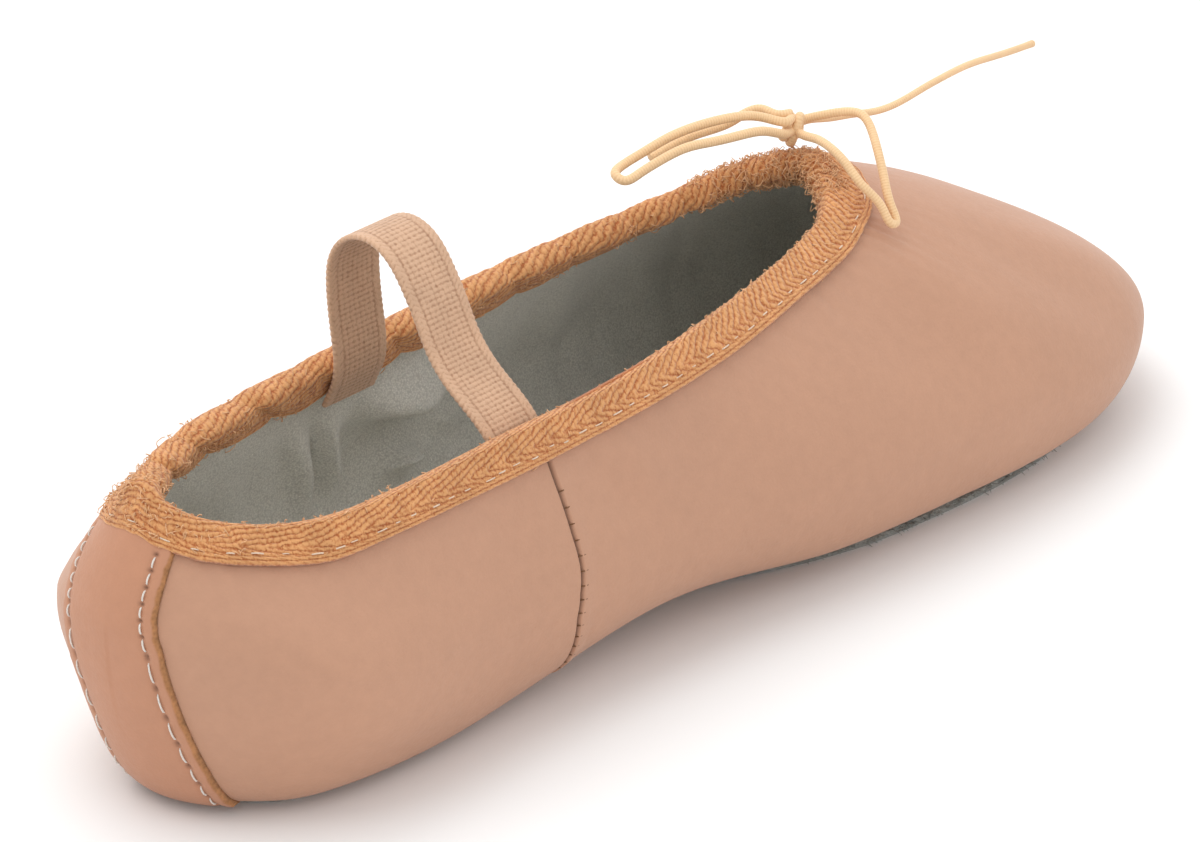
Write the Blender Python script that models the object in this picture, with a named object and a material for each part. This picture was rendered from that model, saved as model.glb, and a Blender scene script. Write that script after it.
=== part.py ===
# A soft leather ballet slipper: hollow upper, heel strip, collar binding, elastic strap,
# drawstring bow, insole and suede outsole.
# Metres, +Z up. The shoe stands on Z = 0, its toe points to -Y and the wearer's right is -X.

from collections import namedtuple

import bpy
import numpy as np

# Driving dimensions of the last
LENGTH = 0.240
BALL_WIDTH = 0.0826
HEEL_HEIGHT = 0.0550
INSTEP_HEIGHT = 0.0574
TOE_SPRING = 0.0015
ARCH_LIFT = 0.0028

# Driving dimensions of the pieces
WALL = 0.0014
LASTING_MARGIN = 0.0090
SOLE_THICK = 0.0012
SOLE_INSET = 0.0008
SOLE_TUCK = 0.0020
SOLE_BEVEL = 0.0003
INSOLE_THICK = 0.0012
CLEARANCE = 0.0003
STRIP_THICK = 0.0008
STRIP_WIDTH = 0.0225
STRIP_TOP_SWAY = -0.0030
STRIP_FOOT_SWAY = 0.0025
STRIP_SWAY_FROM = 0.15
STRIP_SWAY_TO = 0.75
BINDING_THICK = 0.0010
BINDING_OUTSIDE = 0.0071
BINDING_INSIDE = 0.0065
BINDING_EASE = 0.0002
STRAP_WIDTH = 0.0120
STRAP_THICK = 0.0011
STRAP_ALONG = 0.0732
STRAP_RISE = 0.0255
STRAP_SEWN = 0.0095
STRAP_EASE = 0.0004
CORD_DIAMETER = 0.0015
KNOT_SIZE = (0.0050, 0.0044, 0.0064)

# Where the sole leaves the ground, as shares of the length
ARCH_FROM = 0.27
ARCH_TO = 0.57
SPRING_FROM = 0.86

# Where the outsole comes out from under the leather, as shares of the length
TUCK_FROM = 0.50
TUCK_TO = 0.62

# How the skin runs between the three lines of a rib
LOW_OUT = 0.55
LOW_DOWN = 0.50
HIGH_UP = 0.30
HIGH_BACK = 0.30
VAMP_SLOPE = 0.355
VAMP_FROM = 0.012
VAMP_OVER = 0.030

# Facets. The rows of the upper crowd towards the rim, where the binding lies on them, and
# the columns towards the heel and the toe, where the shoe bends most.
AROUND = 84
ENDS_CROWD = 0.50
MARGIN_STEPS = 2
LOW_STEPS = 5
HIGH_STEPS = 9
HIGH_CROWD = 1.6
STRIP_ACROSS = 10
STRIP_UP = 14
STRAP_STEPS = 36
CORD_STEP = 2.5
CORD_SIDES = 2
NUDGE = 0.0005

# The last's ribs, from the middle of the heel round one side to the middle of the toe.
# along is a share of the length, half a share of half the ball width, and high a share of
# the collar height there. sole is the edge of the flat underside, wide the outline seen
# from above, and collar the rim.
Rib = namedtuple("Rib", "name sole_along sole_half wide_along wide_half wide_high "
                        "collar_along collar_half collar_high")
RIBS = (
    Rib("heel middle", 0.045, 0.000, 0.000, 0.000, 0.61, 0.033, 0.000, 1.005),
    Rib("heel round", 0.078, 0.360, 0.032, 0.460, 0.565, 0.042, 0.150, 0.934),
    Rib("heel side", 0.115, 0.445, 0.100, 0.738, 0.465, 0.082, 0.306, 0.866),
    Rib("quarter", 0.210, 0.505, 0.210, 0.762, 0.39, 0.150, 0.466, 0.860),
    Rib("waist", 0.320, 0.375, 0.330, 0.778, 0.36, 0.295, 0.505, 0.868),
    Rib("side seam", 0.440, 0.385, 0.450, 0.836, 0.35, 0.428, 0.497, 0.882),
    Rib("behind ball", 0.570, 0.620, 0.570, 0.940, 0.33, 0.537, 0.430, 0.900),
    Rib("ball", 0.690, 0.740, 0.690, 0.985, 0.330, 0.620, 0.340, 0.921),
    Rib("toe side", 0.800, 0.745, 0.810, 0.980, 0.278, 0.660, 0.262, 0.950),
    Rib("toe corner", 0.895, 0.545, 0.923, 0.775, 0.275, 0.683, 0.150, 0.978),
    Rib("toe front", 0.940, 0.195, 0.988, 0.340, 0.228, 0.694, 0.055, 0.995),
    Rib("toe middle", 0.945, 0.000, 1.000, 0.000, 0.185, 0.696, 0.000, 1.000),
)
MIRRORED = np.array([1, -1, 1, -1, 1, 1, -1, 1])
THROAT_ALONG = RIBS[-1].collar_along

# The strap's middle line over the collar, from the near side to the far side: across is a
# share of half the opening there and rise a share of the arch's rise over the collar.
StrapFold = namedtuple("StrapFold", "across rise")
STRAP_FOLDS = (
    StrapFold(0.72, 0.06),
    StrapFold(0.45, 0.20),
    StrapFold(0.23, 0.38),
    StrapFold(0.10, 0.56),
    StrapFold(-0.06, 0.76),
    StrapFold(-0.30, 0.95),
    StrapFold(-0.54, 1.00),
    StrapFold(-0.80, 0.94),
    StrapFold(-0.97, 0.78),
    StrapFold(-1.01, 0.54),
    StrapFold(-0.98, 0.28),
)

# Cord routes, each point (along from the heel, across to the near side, high) in metres
LOOP_BACK = (
    (0.1644, -0.0032, 0.0646), (0.1616, -0.0056, 0.0656), (0.1572, -0.0074, 0.0668),
    (0.1506, -0.0096, 0.0670), (0.1433, -0.0116, 0.0662), (0.1377, -0.0130, 0.0646),
    (0.1335, -0.0138, 0.0634), (0.1315, -0.0130, 0.0629), (0.1316, -0.0114, 0.0623),
    (0.1341, -0.0102, 0.0629), (0.1381, -0.0088, 0.0645), (0.1429, -0.0074, 0.0656),
    (0.1483, -0.0060, 0.0654), (0.1542, -0.0044, 0.0652), (0.1588, -0.0032, 0.0647),
    (0.1644, -0.0028, 0.0626),
)
END_BACK = (
    (0.1646, -0.0059, 0.0652), (0.1639, -0.0082, 0.0657), (0.1622, -0.0102, 0.0651),
    (0.1602, -0.0116, 0.0638), (0.1558, -0.0126, 0.0633), (0.1510, -0.0134, 0.0633),
    (0.1465, -0.0144, 0.0625), (0.1427, -0.0152, 0.0616),
)
LOOP_FRONT = (
    (0.1698, -0.0035, 0.0633), (0.1717, -0.0004, 0.0644), (0.1732, 0.0024, 0.0652),
    (0.1741, 0.0054, 0.0653), (0.1732, 0.0084, 0.0638), (0.1712, 0.0114, 0.0618),
    (0.1690, 0.0149, 0.0578), (0.1677, 0.0178, 0.0535), (0.1674, 0.0190, 0.0510),
    (0.1658, 0.0192, 0.0518), (0.1647, 0.0176, 0.0546), (0.1637, 0.0146, 0.0580),
    (0.1639, 0.0102, 0.0613), (0.1649, 0.0056, 0.0626), (0.1657, 0.0022, 0.0626),
    (0.1660, -0.0001, 0.0623),
)
END_FRONT = (
    (0.1698, -0.0049, 0.0619), (0.1799, -0.0064, 0.0593), (0.1854, -0.0060, 0.0583),
    (0.1918, -0.0056, 0.0570), (0.1977, -0.0052, 0.0569), (0.2034, -0.0049, 0.0576),
    (0.2090, -0.0047, 0.0581), (0.2158, -0.0047, 0.0582), (0.2255, -0.0049, 0.0571),
    (0.2352, -0.0050, 0.0562),
)

# Colours (linear), roughness of each finish
LEATHER = ("leather", (0.565, 0.330, 0.235), 0.45)
STRIP_LEATHER = ("strip_leather", (0.520, 0.290, 0.200), 0.45)
TAPE = ("binding_tape", (0.620, 0.300, 0.115), 0.85)
ELASTIC = ("strap_elastic", (0.640, 0.390, 0.270), 0.80)
CORD = ("bow_cord", (0.780, 0.520, 0.260), 0.60)
SUEDE = ("sole_suede", (0.190, 0.200, 0.180), 0.95)
LINING = ("insole_lining", (0.320, 0.320, 0.300), 0.90)


def clear_scene():
    for thing in list(bpy.data.objects):
        bpy.data.objects.remove(thing, do_unlink=True)


def make_material(finish):
    name, colour, roughness = finish
    material = bpy.data.materials.new(name)
    material.use_nodes = True
    shader = material.node_tree.nodes["Principled BSDF"]
    shader.inputs["Base Color"].default_value = (*colour, 1.0)
    shader.inputs["Roughness"].default_value = roughness
    shader.inputs["Metallic"].default_value = 0.0
    return material


def add_mesh(name, points, faces, finish):
    mesh = bpy.data.meshes.new(name)
    mesh.from_pydata([tuple(map(float, p)) for p in points], [], faces)
    mesh.validate()
    mesh.shade_smooth()
    mesh.materials.append(make_material(finish))
    thing = bpy.data.objects.new(name, mesh)
    bpy.context.collection.objects.link(thing)
    return thing


def place(along, across, high):
    # Shoe coordinates to world coordinates
    return np.stack([-np.asarray(across), LENGTH / 2 - np.asarray(along), np.asarray(high)], -1)


def curve_through(knots, rows, at, closed):
    # A smooth cubic through the rows, read at the given places on the knots
    knots = np.asarray(knots, float)
    rows = np.asarray(rows, float)
    count = len(knots)
    step = np.diff(knots)
    slope = np.diff(rows, axis=0) / step[:, None]
    system = np.zeros((count, count))
    right = np.zeros_like(rows)
    for i in range(1, count - 1):
        system[i, i - 1:i + 2] = (step[i - 1], 2 * (step[i - 1] + step[i]), step[i])
        right[i] = 6 * (slope[i] - slope[i - 1])
    system[0, 0] = system[-1, -1] = 1
    if closed:
        system[0, 1] = step[0]
        system[0, 0] = 2 * (step[0] + step[-1])
        system[0, -2] = step[-1]
        right[0] = 6 * (slope[0] - slope[-1])
        system[-1, 0] = -1
    bend = np.linalg.solve(system, right)
    at = np.mod(at, 1.0) if closed else np.asarray(at)
    i = np.clip(np.searchsorted(knots, at, side="right") - 1, 0, count - 2)
    h = step[i][..., None]
    a = (knots[i + 1] - at)[..., None] / h
    b = 1 - a
    return (a * rows[i] + b * rows[i + 1]
            + ((a ** 3 - a) * bend[i] + (b ** 3 - b) * bend[i + 1]) * h ** 2 / 6)


def all_ribs():
    # The ribs of the near side, then those of the far side back to the heel
    near = np.array([rib[1:] for rib in RIBS])
    return np.vstack([near, near[-2:0:-1] * MIRRORED, near[:1]])


def rib_knots():
    # Where each rib stands on the outline, as a share of the way round
    ribs = all_ribs()
    outline = ribs[:, 2:4] * (LENGTH, BALL_WIDTH / 2)
    gone = np.r_[0, np.cumsum(np.linalg.norm(np.diff(outline, axis=0), axis=1))]
    return gone / gone[-1], ribs


def lift(along):
    # How far the underside stands off the ground: the arch and the toe spring
    share = np.asarray(along) / LENGTH
    arch = np.clip((share - ARCH_FROM) / (ARCH_TO - ARCH_FROM), 0, 1)
    toe = np.clip((share - SPRING_FROM) / (RIBS[-1].sole_along - SPRING_FROM), 0, None)
    return ARCH_LIFT * 0.5 * (1 - np.cos(2 * np.pi * arch)) + TOE_SPRING * toe ** 2


def collar_level(along):
    # The height that a rib's heights are shares of: the heel's, blending to the instep's
    share = np.clip(along / LENGTH / THROAT_ALONG, 0, 1)[..., None]
    return (HEEL_HEIGHT * (1 - share) + INSTEP_HEIGHT * share)[..., 0]


def rib_lines(u):
    # The three lines of the skin at u round the shoe: sole edge, widest line and rim
    knots, ribs = rib_knots()
    row = curve_through(knots, ribs, u, True)
    (sole_along, sole_half, wide_along, wide_half,
     wide_high, collar_along, collar_half, collar_high) = np.moveaxis(row, -1, 0)
    half = BALL_WIDTH / 2
    level = collar_level(collar_along * LENGTH)
    sole_along = sole_along * LENGTH
    underside = SOLE_THICK + CLEARANCE + lift(sole_along)
    sole = np.stack([sole_along, sole_half * half, underside], -1)
    wide = np.stack([wide_along * LENGTH, wide_half * half, wide_high * level], -1)
    collar = np.stack([collar_along * LENGTH, collar_half * half, collar_high * level], -1)
    return sole, wide, collar


def inward(u):
    # Level direction from the sole edge towards the middle of the sole
    before = rib_lines(u - NUDGE)[0]
    after = rib_lines(u + NUDGE)[0]
    way = (after - before)[..., :2]
    way = way / np.linalg.norm(way, axis=-1, keepdims=True)
    return np.stack([way[..., 1], -way[..., 0]], -1)


def unit(vector):
    return vector / np.maximum(np.linalg.norm(vector, axis=-1, keepdims=True), 1e-12)


def bezier(a, b, c, d, t):
    t = t[..., None]
    return (1 - t) ** 3 * a + 3 * (1 - t) ** 2 * t * b + 3 * (1 - t) * t * t * c + t ** 3 * d


def skin(u, v):
    # The outside of the upper. v runs from -1 at the edge of the leather turned under the
    # foot, to 0 at the sole edge, 1 at the widest line and 2 at the rim.
    u, v = np.broadcast_arrays(np.asarray(u, float), np.asarray(v, float))
    sole, wide, collar = rib_lines(u)
    up = np.array([0, 0, 1.0])
    out = (wide - sole) * (1, 1, 0)
    rise = (wide - sole) * up
    low = bezier(sole, sole + out * LOW_OUT, wide - rise * LOW_DOWN, wide, np.clip(v, 0, 1))
    span = collar - wide
    level_span = span * (1, 1, 0)
    reach = np.linalg.norm(level_span, axis=-1, keepdims=True)
    vamp = np.clip((reach - VAMP_FROM) / VAMP_OVER, 0, 1)
    way = unit(unit(span) * (1 - vamp) + unit(unit(level_span) + up * VAMP_SLOPE) * vamp)
    size = np.linalg.norm(span, axis=-1, keepdims=True)
    high = bezier(wide, wide + span * up * HIGH_UP, collar - way * size * HIGH_BACK,
                  collar, np.clip(v - 1, 0, 1))
    turned = sole.copy()
    turned[..., :2] += inward(u) * (LASTING_MARGIN * np.clip(-v, 0, 1))[..., None]
    turned[..., 2] = SOLE_THICK + CLEARANCE + lift(turned[..., 0])
    v = v[..., None]
    spot = np.where(v < 0, turned, np.where(v < 1, low, high))
    return place(spot[..., 0], spot[..., 1], spot[..., 2])


def normal(u, v):
    # Outward direction of the skin
    u, v = np.broadcast_arrays(np.asarray(u, float), np.asarray(v, float))
    round_way = skin(u + NUDGE, v) - skin(u - NUDGE, v)
    high_v = np.minimum(v + NUDGE * 4, 2)
    low_v = np.maximum(v - NUDGE * 4, -1)
    up_way = skin(u, high_v) - skin(u, low_v)
    return unit(np.cross(round_way, up_way))


def shell(u, v, offset):
    # The skin moved out, or in where offset is below zero
    return skin(u, v) + normal(u, v) * np.asarray(offset)[..., None]


def below_rim(u, down):
    # The v at a given length down the rib from the rim
    table_v = np.linspace(2, 0.2, 60)
    line = skin(np.asarray(u)[:, None], table_v[None, :])
    gone = np.cumsum(np.linalg.norm(np.diff(line, axis=1), axis=-1), axis=1)
    gone = np.hstack([np.zeros((len(gone), 1)), gone])
    return np.array([np.interp(down, row, table_v) for row in gone])


def rim_point(u, down, offset):
    # A point down from the rim, or past it where down is below zero
    v = below_rim(u, max(down, 0))
    spot = shell(u, v, np.full(len(u), offset))
    if down < 0:
        way = unit(skin(u, np.full(len(u), 2.0)) - skin(u, np.full(len(u), 2 - NUDGE * 8)))
        spot = spot - way * down
    return spot


def ring_faces(rings, around):
    # Quads between each ring and the next, the last ring joined to the first
    faces = []
    for r in range(rings):
        here = r * around
        above = (r + 1) % rings * around
        for i in range(around):
            j = (i + 1) % around
            faces.append((here + i, here + j, above + j, above + i))
    return faces


def ladder(start, around, upward):
    # A cap whose rungs run straight across a ring that is the same on both sides
    half = around // 2
    faces = []
    for i in range(half):
        left = (start + i, start + i + 1)
        right = (start + (around - i - 1) % around, start + (around - i) % around)
        corners = [left[0], left[1], right[0], right[1]]
        faces.append(tuple(dict.fromkeys(corners)))
    return faces if upward else [face[::-1] for face in faces]


def around_places():
    share = np.arange(AROUND) / AROUND
    return share - ENDS_CROWD * np.sin(4 * np.pi * share) / (4 * np.pi)


def sole_inset(along):
    # How far the outsole's edge lies in from the leather's: more behind the ball
    share = np.clip((along / LENGTH - TUCK_FROM) / (TUCK_TO - TUCK_FROM), 0, 1)
    return SOLE_INSET + SOLE_TUCK * (1 - share)


def sole_ring(inset, high):
    # A ring level with the sole edge, moved in by inset and up by high over the lift
    u = around_places()
    spot = rib_lines(u)[0]
    spot[:, :2] += inward(u) * np.reshape(inset, (-1, 1))
    return place(spot[:, 0], spot[:, 1], high + lift(spot[:, 0]))


def make_upper():
    u = around_places()
    rows = np.r_[np.linspace(-1, 0, MARGIN_STEPS, endpoint=False),
                 np.linspace(0, 1, LOW_STEPS, endpoint=False),
                 2 - np.linspace(1, 0, HIGH_STEPS + 1) ** HIGH_CROWD]
    outside = [shell(u, np.full(AROUND, v), np.zeros(AROUND)) for v in rows]
    inside = [shell(u, np.full(AROUND, v), np.full(AROUND, -WALL)) for v in rows[::-1]]
    rings = outside + inside
    return add_mesh("upper", np.vstack(rings), ring_faces(len(rings), AROUND), LEATHER)


def make_outsole():
    inset = sole_inset(rib_lines(around_places())[0][:, 0])
    rings = [
        sole_ring(inset + SOLE_BEVEL, 0),
        sole_ring(inset, SOLE_BEVEL),
        sole_ring(inset, SOLE_THICK),
    ]
    faces = ring_faces(len(rings), AROUND)[:-AROUND]
    faces += ladder(0, AROUND, False)
    faces += ladder((len(rings) - 1) * AROUND, AROUND, True)
    return add_mesh("outsole", np.vstack(rings), faces, SUEDE)


def make_insole():
    # Its raised core fills the hole that the turned leather leaves
    core = LASTING_MARGIN + CLEARANCE
    seat = SOLE_THICK + 2 * CLEARANCE + WALL
    rings = [
        sole_ring(core, SOLE_THICK + CLEARANCE),
        sole_ring(core, seat),
        sole_ring(0, seat),
        sole_ring(0, seat + INSOLE_THICK),
    ]
    faces = ring_faces(len(rings), AROUND)[:-AROUND]
    faces += ladder(0, AROUND, False)
    faces += ladder((len(rings) - 1) * AROUND, AROUND, True)
    return add_mesh("insole", np.vstack(rings), faces, LINING)


def strip_foot():
    # The level of the skin at the foot of the heel strip, just over the sole
    table_v = np.linspace(0, 1, 200)
    high = skin(np.zeros(200), table_v)[:, 2]
    return np.interp(SOLE_THICK + 3 * CLEARANCE, high, table_v)


def strip_layer(offset):
    # One face of the heel strip, from just over the sole up to the binding. It leans a
    # little, with its foot to the near side and its top to the far side.
    fine = np.linspace(-0.12, 0.12, 241)
    foot = strip_foot()
    top = below_rim(np.zeros(1), BINDING_OUTSIDE + CLEARANCE)[0]
    layer = []
    for step in np.linspace(0, 1, STRIP_UP + 1):
        v = foot + (top - foot) * step
        swing = np.clip((step - STRIP_SWAY_FROM) / (STRIP_SWAY_TO - STRIP_SWAY_FROM), 0, 1)
        swing = 0.5 - 0.5 * np.cos(np.pi * swing)
        middle = STRIP_FOOT_SWAY + (STRIP_TOP_SWAY - STRIP_FOOT_SWAY) * swing
        line = skin(fine, np.full(len(fine), v))
        gone = np.r_[0, np.cumsum(np.linalg.norm(np.diff(line, axis=0), axis=1))]
        gone -= gone[len(fine) // 2]
        across = np.linspace(-STRIP_WIDTH / 2, STRIP_WIDTH / 2, STRIP_ACROSS + 1)
        u = np.interp(middle + across, gone, fine)
        rim = below_rim(u, BINDING_OUTSIDE + CLEARANCE)
        layer.append(shell(u, foot + (rim - foot) * step, np.full(len(u), offset)))
    return np.array(layer)


def make_heel_strip():
    inner = strip_layer(CLEARANCE)
    outer = strip_layer(CLEARANCE + STRIP_THICK)
    rows, columns = inner.shape[:2]
    count = rows * columns
    faces = []
    for r in range(rows - 1):
        for c in range(columns - 1):
            here = r * columns + c
            quad = (here, here + 1, here + columns + 1, here + columns)
            faces.append(quad[::-1])
            faces.append(tuple(count + k for k in quad))
    edge = [c for c in range(columns)]
    edge += [r * columns + columns - 1 for r in range(1, rows)]
    edge += [(rows - 1) * columns + c for c in range(columns - 2, -1, -1)]
    edge += [r * columns for r in range(rows - 2, 0, -1)]
    for a, b in zip(edge, edge[1:] + edge[:1]):
        faces.append((a, b, count + b, count + a))
    points = np.vstack([inner.reshape(-1, 3), outer.reshape(-1, 3)])
    return add_mesh("heel_strip", points, faces, STRIP_LEATHER)


def make_binding():
    # The tape folded over the rim, as a section of (down the rib, out from the skin)
    u = around_places()
    near = CLEARANCE
    far = CLEARANCE + BINDING_THICK
    inner_near = -WALL - CLEARANCE - BINDING_EASE
    inner_far = inner_near - BINDING_THICK
    middle = -WALL / 2
    roof = -CLEARANCE - BINDING_EASE
    crest = roof - BINDING_THICK
    corner = roof - BINDING_THICK * 0.6
    section = (
        (BINDING_OUTSIDE, near), (BINDING_OUTSIDE, far), (BINDING_OUTSIDE / 2, far),
        (0, far), (corner, near), (crest, middle), (corner, inner_near), (0, inner_far),
        (BINDING_INSIDE / 2, inner_far), (BINDING_INSIDE, inner_far),
        (BINDING_INSIDE, inner_near), (BINDING_INSIDE / 2, inner_near),
        (BINDING_INSIDE / 6, inner_near), (roof, inner_near), (roof, near),
        (BINDING_OUTSIDE / 2, near),
    )
    rings = [rim_point(u, down, out) for down, out in section]
    return add_mesh("collar_binding", np.vstack(rings), ring_faces(len(rings), AROUND), TAPE)


def u_at(along, v, side):
    # Where a level of the skin passes a distance from the heel, on the near side or far side
    u = np.linspace(0, 0.5, 301)
    line = LENGTH / 2 - skin(u, np.full(len(u), v))[:, 1]
    found = np.interp(along, line, u)
    return found if side > 0 else 1 - found


def strap_line():
    # The strap's middle line: sewn inside the near wall, over the arch, inside the far wall
    deep = -(WALL + 2 * CLEARANCE + BINDING_EASE + BINDING_THICK + STRAP_THICK / 2
             + STRAP_EASE)
    downs = (STRAP_SEWN, STRAP_SEWN * 0.6, STRAP_SEWN * 0.2)
    legs = []
    for side in (1, -1):
        u = np.array([u_at(STRAP_ALONG, 2.0, side)])
        legs.append([rim_point(u, down, deep)[0] for down in downs])
    rim_near = skin(np.array([u_at(STRAP_ALONG, 2.0, 1)]), np.array([2.0]))[0]
    half = abs(legs[0][-1][0])
    arch = [place(STRAP_ALONG, fold.across * half, rim_near[2] + fold.rise * STRAP_RISE)
            for fold in STRAP_FOLDS]
    route = np.array(legs[0] + arch + legs[1][::-1])
    route[:, 1] = LENGTH / 2 - STRAP_ALONG
    gone = np.r_[0, np.cumsum(np.linalg.norm(np.diff(route, axis=0), axis=1))]
    return curve_through(gone / gone[-1], route, np.linspace(0, 1, STRAP_STEPS + 1), False)


def make_strap():
    line = strap_line()
    ahead = unit(np.gradient(line, axis=0))
    wide = np.array([0, 1.0, 0])
    thick = np.cross(ahead, wide)
    corners = ((-1, -1), (1, -1), (1, 1), (-1, 1))
    points = np.array([
        centre + wide * w * STRAP_WIDTH / 2 + side * t * STRAP_THICK / 2
        for centre, side in zip(line, thick) for w, t in corners
    ])
    faces = []
    for i in range(len(line) - 1):
        for k in range(4):
            here = i * 4 + k
            there = i * 4 + (k + 1) % 4
            faces.append((here, there, there + 4, here + 4))
    last = (len(line) - 1) * 4
    faces.append((3, 2, 1, 0))
    faces.append((last, last + 1, last + 2, last + 3))
    return add_mesh("instep_strap", points, faces, ELASTIC)


def smooth_route(points, step):
    # A smooth curve through the hand-chosen points, read at an even step
    route = place(*np.array(points).T)
    gone = np.r_[0, np.cumsum(np.linalg.norm(np.diff(route, axis=0), axis=1))]
    fine = curve_through(gone / gone[-1], route, np.linspace(0, 1, 400), False)
    length = np.r_[0, np.cumsum(np.linalg.norm(np.diff(fine, axis=0), axis=1))]
    count = max(int(round(length[-1] / step)), 4)
    return np.stack([np.interp(np.linspace(0, length[-1], count + 1), length, fine[:, k])
                     for k in range(3)], -1)


def make_cord(name, points):
    line = smooth_route(points, CORD_STEP * CORD_DIAMETER)
    curve = bpy.data.curves.new(name, "CURVE")
    curve.dimensions = "3D"
    curve.bevel_depth = CORD_DIAMETER / 2
    curve.bevel_resolution = CORD_SIDES
    curve.use_fill_caps = True
    spline = curve.splines.new("POLY")
    spline.points.add(len(line) - 1)
    for point, spot in zip(spline.points, line):
        point.co = (*map(float, spot), 1.0)
    curve.materials.append(make_material(CORD))
    thing = bpy.data.objects.new(name, curve)
    bpy.context.collection.objects.link(thing)
    return thing


def make_knot():
    # The wrap of cord on top of the binding at the throat, a little to the far side
    rim = skin(np.array([0.5]), np.array([2.0]))[0]
    top = rim[2] + CLEARANCE + BINDING_EASE + BINDING_THICK
    spot = (rim[0] + KNOT_SIZE[0] * 0.8, rim[1], top + KNOT_SIZE[2] / 2)
    bpy.ops.mesh.primitive_uv_sphere_add(segments=14, ring_count=9, radius=0.5, location=spot)
    knot = bpy.context.object
    knot.name = "bow_knot"
    knot.scale = KNOT_SIZE
    knot.data.shade_smooth()
    knot.data.materials.append(make_material(CORD))
    return knot


def main():
    clear_scene()
    make_upper()
    make_outsole()
    make_insole()
    make_heel_strip()
    make_binding()
    make_strap()
    make_knot()
    make_cord("bow_loop_back", LOOP_BACK)
    make_cord("bow_end_back", END_BACK)
    make_cord("bow_loop_front", LOOP_FRONT)
    make_cord("bow_end_front", END_FRONT)


main()
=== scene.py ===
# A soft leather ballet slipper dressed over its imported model: leather, lining, gathered
# collar tape, elastic strap, drawstring bow, suede sole, stitching and loose fibres.
# Metres, +Z up. The shoe stands on Z = 0, its toe points to -Y, the wearer's right is -X.

from collections import namedtuple

import bpy
import numpy as np
from mathutils import Matrix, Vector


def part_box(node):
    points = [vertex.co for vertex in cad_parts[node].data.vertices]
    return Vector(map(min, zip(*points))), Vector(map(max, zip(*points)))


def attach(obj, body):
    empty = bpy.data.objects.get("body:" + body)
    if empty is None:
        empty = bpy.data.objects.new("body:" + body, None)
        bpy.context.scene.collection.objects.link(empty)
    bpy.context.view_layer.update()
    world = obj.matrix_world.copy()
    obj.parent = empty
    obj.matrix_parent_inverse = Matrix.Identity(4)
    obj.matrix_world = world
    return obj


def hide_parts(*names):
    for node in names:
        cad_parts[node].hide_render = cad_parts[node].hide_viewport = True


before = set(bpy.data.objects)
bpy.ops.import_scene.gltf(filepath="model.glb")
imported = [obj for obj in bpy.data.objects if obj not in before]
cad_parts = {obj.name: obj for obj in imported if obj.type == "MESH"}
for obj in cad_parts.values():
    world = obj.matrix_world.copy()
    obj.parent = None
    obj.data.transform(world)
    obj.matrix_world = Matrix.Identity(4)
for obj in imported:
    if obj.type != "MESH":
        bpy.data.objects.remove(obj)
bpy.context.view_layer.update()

bl_info = {
    "name": "Ballet Slipper",
    "version": (1, 0, 0),
    "blender": (4, 5, 0),
    "location": "View3D > Sidebar > Slipper",
    "description": "Builds a soft leather ballet slipper with a gathered collar and a bow",
    "category": "Add Mesh",
}

# The last, as the model has it
LENGTH = 0.240
BALL_WIDTH = 0.0826
HEEL_HEIGHT = 0.0550
INSTEP_HEIGHT = 0.0574
TOE_SPRING = 0.0015
ARCH_LIFT = 0.0028

# Driving dimensions of the pieces
WALL = 0.0014
LASTING_MARGIN = 0.0090
SOLE_THICK = 0.0012
SOLE_INSET = 0.0008
SOLE_TUCK = 0.0020
INSOLE_THICK = 0.0012
CLEARANCE = 0.0003
STRIP_THICK = 0.0008
STRIP_WIDTH = 0.0225
STRIP_TOP_SWAY = -0.0030
STRIP_FOOT_SWAY = 0.0025
STRIP_SWAY_FROM = 0.15
STRIP_SWAY_TO = 0.75
BINDING_THICK = 0.0010
BINDING_OUTSIDE = 0.0071
BINDING_INSIDE = 0.0065
BINDING_EASE = 0.0002
STRAP_WIDTH = 0.0120
STRAP_THICK = 0.0011
STRAP_ALONG = 0.0732
STRAP_RISE = 0.0255
STRAP_SEWN = 0.0095
STRAP_EASE = 0.0004

# Where the sole leaves the ground, as shares of the length
ARCH_FROM = 0.27
ARCH_TO = 0.57
SPRING_FROM = 0.86

# Where the outsole comes out from under the leather, as shares of the length
TUCK_FROM = 0.50
TUCK_TO = 0.62

# How the skin runs between the three lines of a rib
LOW_OUT = 0.55
LOW_DOWN = 0.50
HIGH_UP = 0.30
HIGH_BACK = 0.30
VAMP_SLOPE = 0.355
VAMP_FROM = 0.012
VAMP_OVER = 0.030
NUDGE = 0.0005

# Rough sizes of the skin, which turn its own places into lengths
SKIN_ROUND = 0.560
SKIN_UP = 0.036

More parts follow.
